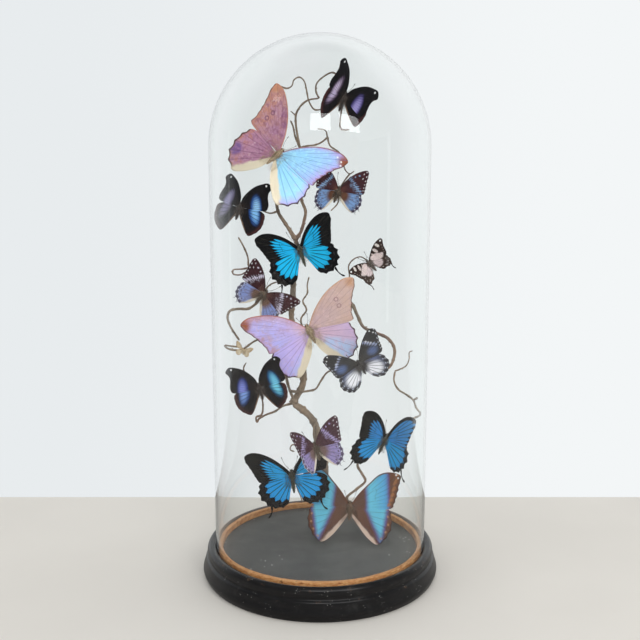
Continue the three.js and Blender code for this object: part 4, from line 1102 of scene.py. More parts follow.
# kind or insect, then L or R where the sides differ: the looks of the fore- and the hindwing
wingLooks = {
    "pearly_morpho_upper_L": {
        "fore": pearlyFore([(0.0, (172, 128, 140)), (0.3, (178, 128, 156)), (0.65, (196, 148, 168)),
                            (1.0, (198, 150, 150))],
                           (202, 142, 112), (200, 144, 126), (130, 84, 106), [(0.56, 0.32), (0.57, 0.2)],
                           [(both(rim(0.34, 0.22, 0, 0.2), patches(0.46, 0.52, 8.0)), (200, 136, 112), 0.7),
                            (patches(0.52, 0.57, 13.0), (142, 90, 122), 0.55),
                            (patches(0.6, 0.64, 22.0), (232, 204, 200), 0.5),
                            (spot((0.34, 0.4), (0.16, 0.09), 0.35, 0.1, -35), (146, 90, 132), 0.7),
                            # a painted highlight: this pale spot near the left forewing's tip stands for a
                            # window's reflection
                            (spot((0.78, 0.56), (0.05, 0.03), 0.5), (240, 214, 200), 0.9)]),
        "hind": pearlyHind([(0.0, (174, 124, 142)), (0.35, (184, 132, 160)), (0.8, (196, 144, 172)),
                            (1.0, (194, 140, 156))],
                           (184, 120, 110), (110, 62, 100),
                           [(patches(0.52, 0.57, 13.0), (146, 94, 128), 0.5),
                            (patches(0.6, 0.64, 22.0), (236, 208, 214), 0.5),
                            (both(rim(0.24, 0.16, 0, 0.2), patches(0.46, 0.53, 9.0)), (196, 128, 104), 0.65),
                            (spot((0.62, -0.35), (0.12, 0.13), 0.5, 0.4), (116, 84, 158), 0.8)])},
    "pearly_morpho_upper_R": {
        "fore": pearlyFore([(0.0, (132, 190, 220)), (0.35, (158, 214, 250)), (0.75, (170, 204, 252)),
                            (0.92, (188, 184, 246)), (1.0, (196, 170, 230))],
                           (150, 82, 44), (150, 92, 66), (70, 100, 160), [],
                           [(lead(0.045, 0.035), (176, 150, 196), 0.5)],
                           [(0.7, 0.57), (0.79, 0.55), (0.82, 0.5)], 0.1),
        "hind": pearlyHind([(0.0, (150, 206, 238)), (0.4, (160, 220, 252)), (0.8, (172, 226, 253)),
                            (0.97, (196, 186, 246))],
                           (196, 176, 236), (76, 130, 190))},
    "pearly_morpho_middle_L": {
        "fore": pearlyFore([(0.0, (230, 196, 210)), (0.35, (208, 190, 246)), (0.7, (198, 194, 255)),
                            (1.0, (206, 186, 246))],
                           (168, 92, 44), (196, 146, 150), (150, 120, 176), [],
                           [(lead(0.14, 0.12), (216, 170, 172), 0.6)]),
        "hind": pearlyHind([(0.0, (220, 192, 230)), (0.5, (208, 190, 250)), (1.0, (202, 190, 255))],
                           (190, 150, 196), (140, 110, 180),
                           [(both(slope(0.45, 0.35), outer(0.25, 0.3)), (192, 208, 254), 0.85)])},
    "pearly_morpho_middle_R": {
        "fore": pearlyFore([(0.0, (208, 176, 184)), (0.4, (214, 184, 184)), (0.8, (218, 188, 182)),
                            (1.0, (216, 184, 182))],
                           (208, 160, 130), (218, 182, 166), (168, 126, 128), [(0.55, 0.26), (0.53, 0.37)],
                           [(lead(0.07, 0.06), (204, 164, 144), 0.5)]),
        "hind": pearlyHind([(0.0, (220, 184, 196)), (0.5, (222, 190, 216)), (1.0, (222, 194, 232))],
                           (190, 152, 190), (146, 112, 160),
                           [(both(slope(0.26, 0.2), outer(0.15, 0.3)), (198, 218, 254), 0.9)])},
    "banded_morpho": {
        "fore": {"stops": [(0.0, (112, 82, 66)), (0.4, (104, 72, 62)), (1.0, (122, 78, 54))], "layers": [
            (both(beyond((0.28, 0.0), (0.3, 0.6), 0.04), beyond((0.7, 0.6), (0.67, 0.0), 0.03)),
             (104, 104, 180), 0.8),
            (both(beyond((0.31, 0.0), (0.33, 0.6), 0.05), beyond((0.64, 0.6), (0.62, 0.0), 0.05)),
             (116, 208, 234), 0.95),
            (both(beyond((0.5, 0.0), (0.5, 0.6), 0.12), beyond((0.66, 0.6), (0.64, 0.0), 0.04)),
             (84, 162, 226), 0.6),
            (veins(0.006, 0.4), (66, 86, 96), 0.45), (cellEdge(0.005, 0.5), (60, 80, 90), 0.4),
            (lead(0.03), (112, 76, 60), 0.9),
            (dots(0.07, 0.035, 0.15, 1.0, 1.3), (178, 120, 78), 0.8),
            (rim(0.022, 0.01), (70, 44, 34), 0.85),
            (spot((0.82, 0.53), (0.022, 0.02), 0.4), white, 1.0),
            (spot((0.85, 0.475), (0.02, 0.02), 0.4), white, 1.0),
        ], "shine": 0.15},
        "hind": {"stops": [(0.0, (116, 84, 68)), (0.5, (108, 74, 62)), (1.0, (112, 72, 56))], "layers": [
            (both(beyond((0.46, -0.62), (0.25, 0.0), 0.04), beyond((0.68, 0.0), (0.52, -0.6), 0.03)),
             (104, 104, 178), 0.75),
            (both(beyond((0.5, -0.6), (0.29, 0.0), 0.05), beyond((0.63, 0.0), (0.5, -0.54), 0.04)),
             (116, 206, 232), 0.95),
            (veins(0.006, 0.35), (66, 86, 96), 0.4),
            (dots(0.05, 0.022, 0.0, 0.9, 1.4), (196, 150, 110), 0.7),
            (rim(0.014, 0.008), (66, 42, 34), 0.9),
            (fold(0.64, 0.03), (222, 196, 180), 1.0),
        ], "shine": 0.15}},
    "swallowtail_upper": {"fore": swallowtailFore((30, 184, 240), (22, 104, 134)),
                          "hind": swallowtailHind((32, 194, 246), (24, 150, 208))},
    "swallowtail_left": {"fore": swallowtailFore((50, 178, 244), (44, 112, 150)),
                         "hind": swallowtailHind((46, 176, 248), (44, 142, 226))},
    "swallowtail_right": {"fore": swallowtailFore((62, 158, 228), (46, 104, 152)),
                          "hind": swallowtailHind((52, 172, 240), (48, 136, 220), 0.8)},
    "swallowtail_right_R": {"fore": swallowtailFore((64, 160, 230), (46, 104, 152), 1.02),
                            "hind": swallowtailHind((48, 184, 246), (46, 154, 230), 0.94)},
    "leafwing_top": {"fore": leafFore((98, 86, 156), (182, 170, 230)),
                     "hind": leafHind((70, 84, 168), (146, 160, 230))},
    "leafwing_top_L": {"fore": leafFore((96, 74, 100), (214, 196, 226)),
                       "hind": leafHind((104, 82, 110), (206, 190, 222))},
    "leafwing_left": {"fore": leafFore((50, 96, 178), (158, 208, 248)),
                      "hind": leafHind((48, 96, 176), (140, 198, 246))},
    # leafwing_left's left wings: the blue band painted greyer, a painted sheen on that side
    "leafwing_left_L": {"fore": leafFore((110, 104, 136), (170, 164, 204)),
                        "hind": leafHind((106, 100, 120), (140, 134, 168))},
    "leafwing_lower": {"fore": leafFore((40, 104, 160), (124, 210, 240)),
                       "hind": leafHind((42, 110, 156), (124, 210, 232))},
    "leafwing_lower_L": {"fore": leafFore((56, 70, 148), (138, 148, 226)),
                         "hind": leafHind((56, 86, 150), (132, 164, 224))},
    "charaxes_right": {"fore": charaxesFore((66, 38, 42), (108, 68, 54), (140, 172, 212)),
                       "hind": charaxesHind((104, 70, 54), (124, 158, 206), (96, 104, 132))},
    "charaxes_left": {"fore": charaxesFore((62, 34, 38), (92, 62, 52), (214, 208, 228)),
                      "hind": charaxesHind((112, 86, 74), (140, 154, 208), (176, 182, 216))},
    "charaxes_lower": {"fore": charaxesFore((74, 48, 56), (92, 70, 64), (186, 170, 214)),
                       "hind": charaxesHind((124, 100, 96), (158, 144, 194), (176, 162, 206))},
    "graphium": {
        "fore": {"stops": [(0.0, (84, 66, 58)), (0.3, (56, 42, 38)), (1.0, (52, 38, 35))], "layers": [
            (spot((0.36, 0.03), (0.27, 0.16), 0.3, 0.3, 20), (232, 212, 210), 1.0),
            (spot((0.46, 0.25), (0.065, 0.13), 0.3, 0.3, -20), (226, 210, 206), 0.95),
            (spot((0.63, 0.37), (0.06, 0.11), 0.3, 0.3, -20), (232, 222, 216), 0.95),
            (spot((0.3, 0.2), (0.03, 0.07), 0.4, 0.3, -30), (226, 206, 200), 0.8),
            (spot((0.58, 0.02), (0.06, 0.07), 0.4), (224, 206, 206), 0.9),
            (spot((0.82, 0.44), (0.045, 0.04), 0.4), white, 0.95),
            (dots(0.07, 0.018, 0.25, 1.0), (214, 200, 190), 0.6),
            (veins(0.008, 0.3), (66, 54, 48), 0.6),
            (patches(0.5, 0.7, 12.0), (78, 62, 50), 0.3),
        ], "shine": 0.05},
        "hind": {"stops": [(0.0, (210, 190, 188)), (0.35, (218, 198, 198)), (0.5, (72, 56, 50)),
                           (1.0, (58, 46, 42))], "layers": [
            (spot((0.24, -0.2), (0.22, 0.2), 0.3), (226, 206, 208), 0.95),
            (dots(0.1, 0.024, 0.0, 0.95), (220, 206, 200), 0.7),
            (veins(0.008, 0.2), (84, 70, 62), 0.6),
            (rim(0.02, 0.01), (60, 48, 44), 0.8),
        ], "shine": 0.05}},
    "diadem": {
        "fore": {"stops": [(0.0, (70, 66, 62)), (0.3, (66, 64, 64)), (1.0, (58, 56, 56))], "layers": [
            (spot((0.5, 0.1), (0.22, 0.17), 0.8, 0.6), (104, 120, 164), 0.85),
            (stripe((0.44, 0.42), (0.66, 0.2), 0.085, 0.06, 0.06, 0.14), (166, 174, 206), 0.9),
            (both(stripe((0.47, 0.43), (0.62, 0.28), 0.045, 0.04, 0.03, 0.1), patches(0.4, 0.55, 10.0)),
             (226, 224, 230), 0.9),
            (spot((0.8, 0.5), (0.022, 0.022), 0.4), white, 1.0),
            (spot((0.74, 0.59), (0.022, 0.022), 0.4), white, 1.0),
            (dots(0.035, 0.013, 0.25, 1.0, 2.4), (214, 216, 224), 0.85),
            (veins(0.007, 0.3), (44, 42, 44), 0.7),
        ], "shine": 0.06},
        "hind": {"stops": [(0.0, (84, 78, 74)), (0.25, (96, 94, 100)), (0.6, (104, 112, 146)),
                           (1.0, (56, 54, 56))], "layers": [
            (spot((0.33, -0.31), (0.31, 0.28), 0.6, 0.5), (240, 238, 244), 1.0),
            (veins(0.008, 0.2), (60, 58, 68), 0.7),
            (rim(0.13, 0.05), (60, 58, 62), 0.9),
            (dots(0.085, 0.017, 0.0, 1.0, 2.2), (196, 202, 222), 0.85),
            (dots(0.03, 0.012, 0.0, 1.0, 2.6), (226, 228, 234), 0.9),
        ], "shine": 0.06}},
    "pale_moth": {
        "fore": {"stops": [(0.0, (206, 180, 142)), (0.5, (232, 216, 190)), (1.0, (206, 178, 140))],
                 "layers": [
            (patches(0.5, 0.64, 9.0), (150, 116, 80), 0.7), (veins(0.01, 0.2), (160, 126, 90), 0.6),
            (rim(0.04, 0.02), (140, 108, 78), 0.6)], "shine": 0.0},
        "hind": {"stops": [(0.0, (214, 190, 156)), (0.5, (236, 222, 198)), (1.0, (212, 188, 154))],
                 "layers": [
            (patches(0.52, 0.66, 9.0), (156, 122, 88), 0.6), (rim(0.04, 0.02), (146, 112, 82), 0.5)],
                 "shine": 0.0}},
}
underLooks = {  # the undersides, seen from behind
    "pearly_morpho": ((172, 142, 112), (206, 182, 150), (104, 76, 56)),
    "banded_morpho": ((128, 94, 70), (170, 134, 98), (78, 54, 42)),
    "swallowtail": ((74, 58, 48), (112, 94, 78), (40, 32, 28)),
    "leafwing": ((104, 80, 60), (140, 112, 84), (66, 50, 40)),
    "charaxes": ((134, 112, 100), (196, 184, 178), (82, 60, 52)),
    "graphium": ((120, 104, 90), (214, 198, 192), (76, 62, 54)),
    "diadem": ((98, 86, 76), (178, 172, 170), (58, 52, 50)),
    "pale_moth": ((206, 184, 154), (228, 212, 186), (160, 128, 96)),
}


def paintWing(name, wing, look):
    k = WingKit(name, wing)
    fromRoot = k.s + (k.streak - 0.5) * 0.16 + (k.cloud - 0.5) * 0.1
    colour = k.ramp(fromRoot, [(at, tint(*tone)) for at, tone in look["stops"]])
    for mask, tone, strength in look["layers"]:
        colour = k.mix(mask(k) * strength, colour, tint(*tone))
    colour = k.scaled(colour, 0.83 + k.streak * 0.2 + k.grain * 0.14)
    scale = k.noise(k.joined(k.x, k.y, k.shift), 260.0, 2.0)
    ridge = veins(0.014, 0.1)(k)
    normal = k.bump(ridge * 0.7 + k.streak * 0.25 + scale * 0.2, 0.00025, 0.7)
    return k.shade(colour, 0.42 + scale * 0.24, normal, Metallic=look["shine"], Specular_IOR_Level=0.0)


def paintUnder(kind, wing):
    ground, pale, dark = underLooks[kind]
    eyes = {"fore": [(0.56, 0.3), (0.58, 0.16)], "hind": [(0.5, -0.14), (0.5, -0.3), (0.44, -0.44)]}[wing]
    layers = [(patches(0.42, 0.62, 5.0), pale, 0.5), (patches(0.56, 0.7, 14.0), dark, 0.4),
              (both(outer(0.48, 0.03, 0, 0.1), within(0.56, 0.03)), pale, 0.7), (rim(0.1, 0.03), dark, 0.45)]
    if kind in ("pearly_morpho", "banded_morpho"):
        for at in eyes:
            layers += [(spot(at, (0.05, 0.05), 0.2), (202, 160, 84), 0.9),
                       (spot(at, (0.034, 0.034), 0.2), (34, 28, 28), 1.0),
                       (spot(at, (0.01, 0.01), 0.3), white, 1.0)]
    layers += [(veins(0.008, 0.15), dark, 0.6), (rim(0.014, 0.008), dark, 0.9)]
    look = {"stops": [(0.0, dark), (0.25, ground), (1.0, ground)], "layers": layers, "shine": 0.0}
    return paintWing(f"under_{kind}_{wing}", wing, look)


def distanceTo(points, line):  # from each point to the nearest of a line's segments
    best = np.full(len(points), 9.0)
    for a, b in zip(line[:-1], line[1:]):
        along = b - a
        share = np.clip((points - a) @ along / max(along @ along, 1e-12), 0, 1)
        best = np.minimum(best, np.linalg.norm(points - a - share[:, None] * along, axis=1))
    return best


def turnPlan(points, centre, degrees):
    angle = math.radians(degrees)
    c, s = math.cos(angle), math.sin(angle)
    moved = points - centre
    return np.stack([moved[:, 0] * c - moved[:, 1] * s, moved[:, 0] * s + moved[:, 1] * c], 1) + centre


def wingSheet(kind, wing):  # a wing's grid in plan, with its maps
    form = wingForms[kind]
    key = np.array(form[wing], float)
    rays, steps = form.get("grid", wingBuild["grid"])
    stretchSteps = wingBuild["curveSteps"]
    curve = spline(key, stretchSteps)
    stretch = np.concatenate([[0], np.cumsum(np.linalg.norm(np.diff(curve, axis=0), axis=1))])
    edge = evenly(curve, rays + 1)
    t = np.linspace(0, 1, rays + 1)
    rootFront, rootBack = key[0], key[-1]
    middle = (rootFront + rootBack) / 2
    angle = np.degrees(np.arctan2(edge[:, 1] - middle[1], edge[:, 0] - middle[0]))
    first, last = wingBuild["spread"][wing]
    fan = np.clip((first - angle) / (first - last), -0.35, 1.35)
    rimFirst, rimLast = form["rim"][wing]
    at = stretch[[stretchSteps * rimFirst, stretchSteps * rimLast]] / stretch[-1]
    inRim = np.clip(np.minimum((t - at[0]) / 0.04, (at[1] - t) / 0.04), 0, 1)
    off = np.abs((fan * wingBuild["veins"][wing]) % 1 - 0.5) * 2
    inward = middle - edge
    inward /= np.linalg.norm(inward, axis=1, keepdims=True)
    edge = edge + inward * (form["scallop"][wing] * (1 - off ** 2) * inRim)[:, None]
    root = rootFront + (rootBack - rootFront) * t[:, None]
    s = np.linspace(0, 1, steps + 1)
    grid = root[None] * (1 - s[:, None, None]) + edge[None] * s[:, None, None]
    plan = grid.reshape(-1, 2)
    rimLine = edge[(t >= at[0]) & (t <= at[1])]
    leadLine = edge[t <= at[0]]
    away = distanceTo(plan, rimLine)
    front = distanceTo(plan, leadLine)
    maps = {
        "plan": plan,
        "span": np.stack([np.tile(t, steps + 1), np.repeat(s, rays + 1)], 1),
        "rim": np.stack([np.tile(fan, steps + 1), away], 1),
        "lead": np.stack([front, np.zeros_like(front)], 1),
    }
    return plan, maps, rays, steps


def sheetFaces(rays, steps, flip):
    width = rays + 1
    half = width * (steps + 1)
    top, bottom = [], []
    for i in range(steps):
        for j in range(rays):
            a = i * width + j
            b, c, d = a + 1, a + width + 1, a + width
            top.append((a, d, c, b))
            bottom.append((half + a, half + b, half + c, half + d))
    border = [(steps * width + j, steps * width + j + 1) for j in range(rays)]
    border += [(j + 1, j) for j in range(rays)]
    border += [(i * width, (i + 1) * width) for i in range(steps)]
    border += [((i + 1) * width + rays, i * width + rays) for i in range(steps)]
    wall = [(a, half + a, half + b, b) for a, b in border]
    faces = top + bottom + wall
    if flip:
        faces = [face[::-1] for face in faces]
    return faces, len(top), len(bottom), len(wall)


def addWing(build, one, wing, side, seed, slots):
    kind, size = one["kind"], one["size"]
    i = 0 if side < 0 else 1
    plan, maps, rays, steps = wingSheet(kind, wing)
    maps["lead"] = maps["lead"] + np.array([0, seed * 1.7])
    centre = np.array(wingBuild["hinge"][wing])
    moved = turnPlan(plan, centre, -one[wing][i])
    fan = maps["rim"][:, 0]
    s = maps["span"][:, 1]
    away = maps["rim"][:, 1]
    ripple = 0.16 * np.cos(2 * math.pi * fan * wingBuild["veins"][wing]) * np.sin(math.pi * s)
    sway = 0.55 * np.sin(moved[:, 0] * 5 + seed) * np.cos(moved[:, 1] * 4 + seed * 2) * s ** 1.5
    sway += 0.12 * np.sin(fan * 23 + seed * 3) * s ** 4
    lift = (wingBuild["overlap"] if wing == "fore" else 0.0) - 0.2
    height = (ripple + sway * size / 55 + lift) * mm
    thinning = np.clip(np.minimum(away, maps["lead"][:, 0]) / 0.06, 0, 1)
    half = wingBuild["thickness"] / 2 * (0.35 + 0.65 * thinning) * mm
    flat = moved * size * mm
    upper = np.stack([side * flat[:, 0], flat[:, 1], height + half], 1)
    lower = np.stack([side * flat[:, 0], flat[:, 1], height - half], 1)
    faces, tops, bottoms, walls = sheetFaces(rays, steps, side < 0)
    turn = np.array(Matrix.Rotation(math.radians(-side * one["lift"][i]), 3, "Y"))
    points = np.concatenate([upper, lower]) @ turn.T
    maps = {name: np.concatenate([values, values]) for name, values in maps.items()}
    build.add(points, faces, maps, [slots[0]] * tops + [slots[1]] * bottoms + [slots[0]] * walls)
    if wing == "hind":
        for tail in wingForms[kind].get("tails", []):
            addTail(build, one, side, tail, seed, slots[0], turn)


def addTail(build, one, side, tail, seed, slot, turn):
    start, end, widths = (np.array(part, float) for part in tail)
    along = end - start
    across = np.array([along[1], -along[0]]) / np.linalg.norm(along)
    shares = np.linspace(-0.12, 1, 15)
    wide = np.interp(shares, [-0.12, 0.0, 0.3, 0.6, 0.85, 0.95, 1.0],
                     [widths[0], widths[0], widths[1], widths[1], widths[2], widths[2] * 0.8, 0.004])
    bend = across[None] * (0.03 * np.sin(shares * 3))[:, None]
    line = start + along * shares[:, None] + bend
    columns = np.array([-1.0, -0.5, 0.0, 0.5, 1.0])
    aside = columns[:, None, None] * wide[None, :, None] / 2
    plan = (line[None] + across[None, None] * aside).reshape(-1, 2)
    drawnBack = -one["hind"][max(side, 0)]
    moved = turnPlan(plan, np.array(wingBuild["hinge"]["hind"]), drawnBack) * one["size"] * mm
    thick = np.repeat(1 - 0.6 * np.abs(columns), len(shares)) * 0.2 * mm
    level = -0.16 * mm
    upper = np.stack([side * moved[:, 0], moved[:, 1], level + thick], 1)
    lower = np.stack([side * moved[:, 0], moved[:, 1], level - thick], 1)
    faces = sheetFaces(len(shares) - 1, len(columns) - 1, side > 0)[0]
    ones = np.ones(len(plan))
    maps = {"plan": plan, "span": np.stack([0.6 * ones, ones], 1),
            "rim": np.stack([0.5 * ones, 0.03 * ones], 1),
            "lead": np.stack([0.5 * ones, 0 * ones + seed], 1)}
    maps = {name: np.concatenate([values, values]) for name, values in maps.items()}
    build.add(np.concatenate([upper, lower]) @ turn.T, faces, maps, slot)


# Bodies, feelers, legs, pins and hair

bodyBuild = {
    "sides": 18, "feelerRadius": 0.2, "club": 0.45, "feelerSpread": 24, "legRadius": 0.24, "pinRadius": 0.3,
    "raised": 0.4,  # the body's middle above the wings' hinges
    "hairs": 620, "fewHairs": 260, "hairRadius": 0.07, "hairCorners": (0, 2.094, 4.189),
    "longestCoat": 42,  # hair grows with the insect up to this forewing
    "small": 20, "slim": 0.6, "slimLegs": 0.5,  # below this forewing the feelers, legs and pin are this thin
}
bodyTones = {  # skin, hair
    "pearly_morpho": ((146, 122, 94), (204, 184, 150)), "banded_morpho": ((98, 76, 56), (128, 98, 70)),
    "swallowtail": ((52, 50, 40), (88, 88, 62)), "leafwing": ((44, 34, 30), (84, 66, 52)),
    "charaxes": ((74, 56, 44), (120, 100, 76)), "graphium": ((84, 74, 68), (132, 118, 106)),
    "diadem": ((52, 46, 46), (84, 78, 74)), "pale_moth": ((190, 164, 128), (226, 206, 172)),
}


def slimmed(size, share):
    return share if size < bodyBuild["small"] else 1


def skin(kind):
    k = Kit("body_" + kind)
    tone, hair = (tint(*c) for c in bodyTones[kind])
    along, around, _ = k.parts(k.map("along"))
    where = k.place()
    down = k.noise(k.joined(along * 900.0, around * 14.0, 0.3), 1.0, 4.0, 0.6)
    bands = k.smooth(abs(k.maths("FRACT", along * 330.0) - 0.5), 0.34, 0.48)
    colour = k.mix(k.smooth(down, 0.4, 0.7) * 0.7, tone, hair)
    colour = k.mix(bands * 0.35, colour, tint(*[c * 0.55 for c in bodyTones[kind][0]]))
    colour = k.mix(k.smooth(k.noise(where, 700.0, 2.0), 0.6, 0.75) * 0.4, colour, hair)
    return k.shade(colour, 0.62, k.bump(down + bands * -0.5, 0.0002, 0.8), Sheen_Weight=0.2)


def chitin():
    k = Kit("feelers_and_legs")
    where = k.place()
    along = k.parts(k.map("along"))[0]
    rings = k.smooth(abs(k.maths("FRACT", along * 2600.0) - 0.5), 0.3, 0.45)
    colour = k.mix(rings * 0.6, tint(44, 36, 32), tint(92, 78, 66))
    colour = k.mix(k.smooth(k.noise(where, 500.0, 2.0), 0.5, 0.7) * 0.4, colour, tint(30, 24, 22))
    return k.shade(colour, 0.42, k.bump(rings, 0.00005, 0.5))


def steel():
    k = Kit("pin_steel")
    along, around, _ = k.parts(k.map("along"))
    drawn = k.noise(k.joined(along * 60.0, around * 30.0, 0.2), 1.0, 3.0)
    colour = k.mix(k.smooth(drawn, 0.4, 0.7), tint(120, 120, 120), tint(168, 168, 166))
    return k.shade(colour, 0.28 + drawn * 0.2, Metallic=0.9)


def eyeFinish():
    k = Kit("insect_eyes")
    where = k.place()
    facet = k.cells(where, 5200.0)
    colour = k.mix(k.smooth(facet, 0.2, 0.5), tint(46, 30, 26), tint(22, 16, 15))
    return k.shade(colour, 0.22, k.bump(facet, 0.00004, 0.6))


def hairFinish(kind):
    k = Kit("hair_" + kind)
    where = k.place()
    tone, hair = bodyTones[kind]
    tuft = k.noise(where, 420.0, 3.0, 0.6)
    tip = [min(255, c * 1.25) for c in hair]
    colour = k.ramp(tuft, [(0.3, tint(*tone)), (0.55, tint(*hair)), (0.8, tint(*tip))])
    return k.shade(colour, 0.6, None, Sheen_Weight=0.2)


def bodyProfile(form, size):
    girth, abdomen, head = form["girth"], form["abdomen"], form["head"]
    y = np.linspace(-abdomen, head, 64)
    belly = girth * 0.66 * np.clip(1 - ((y + abdomen * 0.42) / (abdomen * 0.6)) ** 2, 0, 1) ** 0.5
    belly *= 1 - 0.07 * np.abs(np.sin((y + abdomen) / abdomen * 8 * math.pi)) * (y < -0.06)
    chest = girth * np.clip(1 - ((y + 0.005) / 0.085) ** 2, 0, 1) ** 0.5
    face = girth * 0.56 * np.clip(1 - ((y - head + girth * 0.56) / (girth * 0.56)) ** 2, 0, 1) ** 0.5
    neck = girth * 0.34 * ((y > 0) & (y < head - girth * 0.4))
    waist = girth * 0.42 * ((y < 0) & (y > -0.12))
    radius = np.maximum.reduce([belly, chest, face, neck, waist])
    radius = np.convolve(np.pad(radius, 1, "edge"), [0.25, 0.5, 0.25], "valid")
    radius[0] = radius[-1] = girth * 0.05
    return y * size * mm, radius * size * mm


def addBody(build, one):
    form, size = wingForms[one["kind"]], one["size"]
    y, radius = bodyProfile(form, size)
    turns = np.linspace(0, 2 * math.pi, bodyBuild["sides"], endpoint=False)
    raised = bodyBuild["raised"] * mm
    rings, maps = [], []
    for at, r in zip(y, radius):
        rings.append(np.stack([r * np.cos(turns), at + 0 * turns, 0.92 * r * np.sin(turns) + raised], 1))
        maps.append(np.stack([at + 0 * turns, np.abs(turns / math.pi - 1)], 1))
    faces = [face[::-1] for face in loft(len(y), len(turns))]
    build.add(np.concatenate(rings), faces, {"along": np.concatenate(maps)}, 0)
    headY = (form["head"] - form["girth"] * 0.56) * size * mm
    eye = form["girth"] * 0.3 * size * mm
    for side in (-1, 1):
        eyePlace = (side * form["girth"] * 0.4 * size * mm, headY + eye * 0.3, raised + eye * 0.3)
        addBall(build, eyePlace, eye, 2)
        palp = spline([(side * eye * 0.4, headY + eye * 1.2, 0),
                       (side * eye * 0.6, headY + eye * 2.2, eye * 0.5),
                       (side * eye * 0.5, headY + eye * 2.9, eye * 1.2)], 4)
        tube(build, palp, np.linspace(0.45, 0.12, len(palp)) * eye, 6, 0)


def addBall(build, centre, radius, slot):
    steps, sides = 9, 12
    turns = np.linspace(0, 2 * math.pi, sides, endpoint=False)
    rings = []
    for a in np.linspace(-math.pi / 2, math.pi / 2, steps):
        r = max(math.cos(a), 0.06) * radius
        height = radius * math.sin(a)
        rings.append(np.stack([r * np.cos(turns), r * np.sin(turns), height + 0 * turns], 1) + centre)
    build.add(np.concatenate(rings), loft(steps, sides), None, slot)


def addFeelers(build, one):
    form, size = wingForms[one["kind"]], one["size"]
    reach = (form["antenna"] + 0.5 * form["girth"]) * size * mm
    start = np.array([0, (form["head"] - 0.6 * form["girth"]) * size * mm, bodyBuild["raised"] * mm])
    angle = math.radians(bodyBuild["feelerSpread"])
    shares = np.linspace(0, 1, 16)
    slim = bodyBuild["feelerRadius"] * (1 - 0.25 * shares)
    club = np.clip((shares - 0.84) / 0.1, 0, 1) * np.clip((1.02 - shares) / 0.05, 0, 1)
    radii = (slim + (bodyBuild["club"] - slim) * club) * mm * slimmed(size, bodyBuild["slim"])
    for side in (-1, 1):
        ahead = np.array([side * math.sin(angle), math.cos(angle), 0.2])
        bow = np.array([side * 0.07, -0.02, 0.03]) * reach
        line = [start + ahead * reach * share + bow * math.sin(share * math.pi) for share in shares]
        tube(build, line, radii, 6, 1)


def addLegs(build, one):
    form, size = wingForms[one["kind"]], one["size"]
    girth = form["girth"] * size * mm
    legs = ((0.045, 0.5), (0.0, -0.35), (-0.04, -1.0))  # where each pair stands, and how far it reaches ahead
    for side in (-1, 1):
        for at, back in legs:
            y = at * size * mm
            knee = np.array([side * girth * 1.9, y + back * girth * 0.8, -girth * 1.3])
            ankle = np.array([side * girth * 1.2, y + back * girth * 2.6, -girth * 2.0])
            toe = ankle + np.array([side * girth * 0.5, back * girth * 1.4, -girth * 0.1])
            line = spline([(side * girth * 0.4, y, -girth * 0.6), knee, ankle, toe], 5)
            radii = np.linspace(bodyBuild["legRadius"], 0.1, len(line)) * mm
            tube(build, line, radii * slimmed(size, bodyBuild["slimLegs"]), 6, 1)


def addPin(build, one, inverse):
    end = np.array(inverse @ Vector([c * mm for c in one["perch"]]))
    line = np.linspace((0, 0, 0), end, 8)
    tube(build, line, bodyBuild["pinRadius"] * mm * slimmed(one["size"], bodyBuild["slim"]), 8, 3)


def addHair(build, rng, root, out, back, length):
    tip = root + (out * 0.45 + back + rng.normal(size=3) * 0.22) * length
    middle = (root + tip) / 2 + out * length * 0.14
    side = np.cross(tip - root, out + 1e-6)
    side /= max(np.linalg.norm(side), 1e-9)
    other = np.cross(side, tip - root)
    other /= max(np.linalg.norm(other), 1e-9)
    r = bodyBuild["hairRadius"] * mm
    rings = []
    for centre, thick in ((root, 1.0), (middle, 0.75)):
        for a in bodyBuild["hairCorners"]:
            rings.append(centre + r * thick * (side * math.cos(a) + other * math.sin(a)))
    points = np.array(rings + [tip])
    faces = [(0, 2, 1), (0, 1, 4, 3), (1, 2, 5, 4), (2, 0, 3, 5), (3, 4, 6), (4, 5, 6), (5, 3, 6)]
    build.add(points, faces)


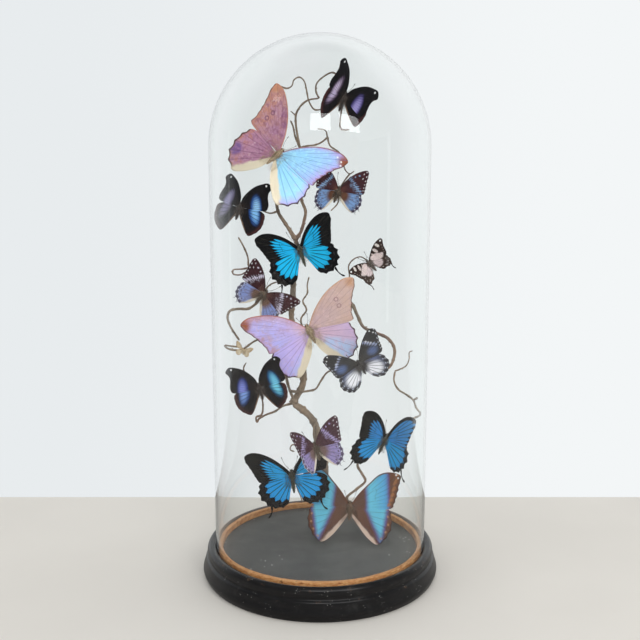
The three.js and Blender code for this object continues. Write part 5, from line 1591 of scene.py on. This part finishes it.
def addCoat(build, one, seed):
    form, size = wingForms[one["kind"]], one["size"]
    rng = np.random.default_rng(seed + 90)
    y, radius = bodyProfile(form, size)
    count = bodyBuild["hairs"] if size > bodyBuild["small"] else bodyBuild["fewHairs"]
    for _ in range(count):
        where = rng.beta(2.4, 1.7)
        at = float(np.interp(where, [0, 1], [y[4], y[-4]]))
        r = float(np.interp(at, y, radius))
        turn = rng.uniform(0, 2 * math.pi)
        out = np.array([math.cos(turn), 0, math.sin(turn)])
        root = np.array([0, at, bodyBuild["raised"] * mm]) + out * r * 0.9
        long = (0.05 + 0.03 * rng.random()) * min(size, bodyBuild["longestCoat"]) * mm
        long *= 1.25 if abs(at) < 0.08 * size * mm else 0.7
        addHair(build, rng, root, out, np.array([0, -0.85, 0]), long)
    for side in (-1, 1):
        i = 0 if side < 0 else 1
        turn = np.array(Matrix.Rotation(math.radians(-side * one["lift"][i]), 3, "Y"))
        for _ in range(count // 4):
            x, down = rng.uniform(0.02, 0.13), rng.uniform(-0.26, 0.06)
            onWing = np.array([side * x * (1 + abs(down)), down, 0.0]) * size * mm
            root = (onWing + np.array([0, 0, 0.0005])) @ turn.T
            away = np.array([side * 0.35, -0.8, 0.05]) @ turn.T
            out = np.array([0, 0, 0.35]) @ turn.T
            addHair(build, rng, root, out, away, rng.uniform(0.05, 0.09) * size * mm)


def move(build, matrix):
    turn = np.array(matrix.to_3x3())
    shift = np.array(matrix.translation)
    build.points = [part @ turn.T + shift for part in build.points]


def lookOf(name, side):
    key = f"{name}_{'L' if side < 0 else 'R'}"
    return key if key in wingLooks else name


def makeInsects():
    painted = {}
    feeler, pin, eye = chitin(), steel(), eyeFinish()
    skins = {kind: skin(kind) for kind in bodyTones}
    hairs = {kind: hairFinish(kind) for kind in bodyTones}

    def paint(key, wing):
        if (key, wing) not in painted:
            painted[key, wing] = paintWing(f"wing_{key}_{wing}", wing, wingLooks[key][wing])
        return painted[key, wing]

    def underside(kind, wing):
        if (kind, wing, 0) not in painted:
            painted[kind, wing, 0] = paintUnder(kind, wing)
        return painted[kind, wing, 0]

    for seed, (name, one) in enumerate(insects.items()):
        kind = one["kind"]
        stand = Matrix.Translation(Vector(one["at"]) * mm)
        stand = stand @ Matrix.Rotation(math.radians(one["heading"]), 4, "Y")
        stand = stand @ Matrix.Rotation(math.radians(90 + one["lean"]), 4, "X")
        materials, wings = [], Build()
        for side in (-1, 1):
            for wing in ("hind", "fore"):
                slots = (len(materials), len(materials) + 1)
                materials += [paint(lookOf(name, side), wing), underside(kind, wing)]
                addWing(wings, one, wing, side, seed + (side + 1) * 0.3, slots)
        move(wings, stand)
        slot = [s["material_slot"] for s in frame["record"]["subparts"] if s["node"] == name][0]
        place(wings.object(name + "_wings", materials), slot, name)

        rest = Build()
        addBody(rest, one)
        addFeelers(rest, one)
        addLegs(rest, one)
        addPin(rest, one, stand.inverted())
        move(rest, stand)
        place(rest.object(name + "_body", [skins[kind], feeler, eye, pin]), slot, name)

        coat = Build()
        addCoat(coat, one, seed)
        move(coat, stand)
        place(coat.object(name + "_hair", [hairs[kind]]), slot, name)
        print("insect:", name)


makeInsects()
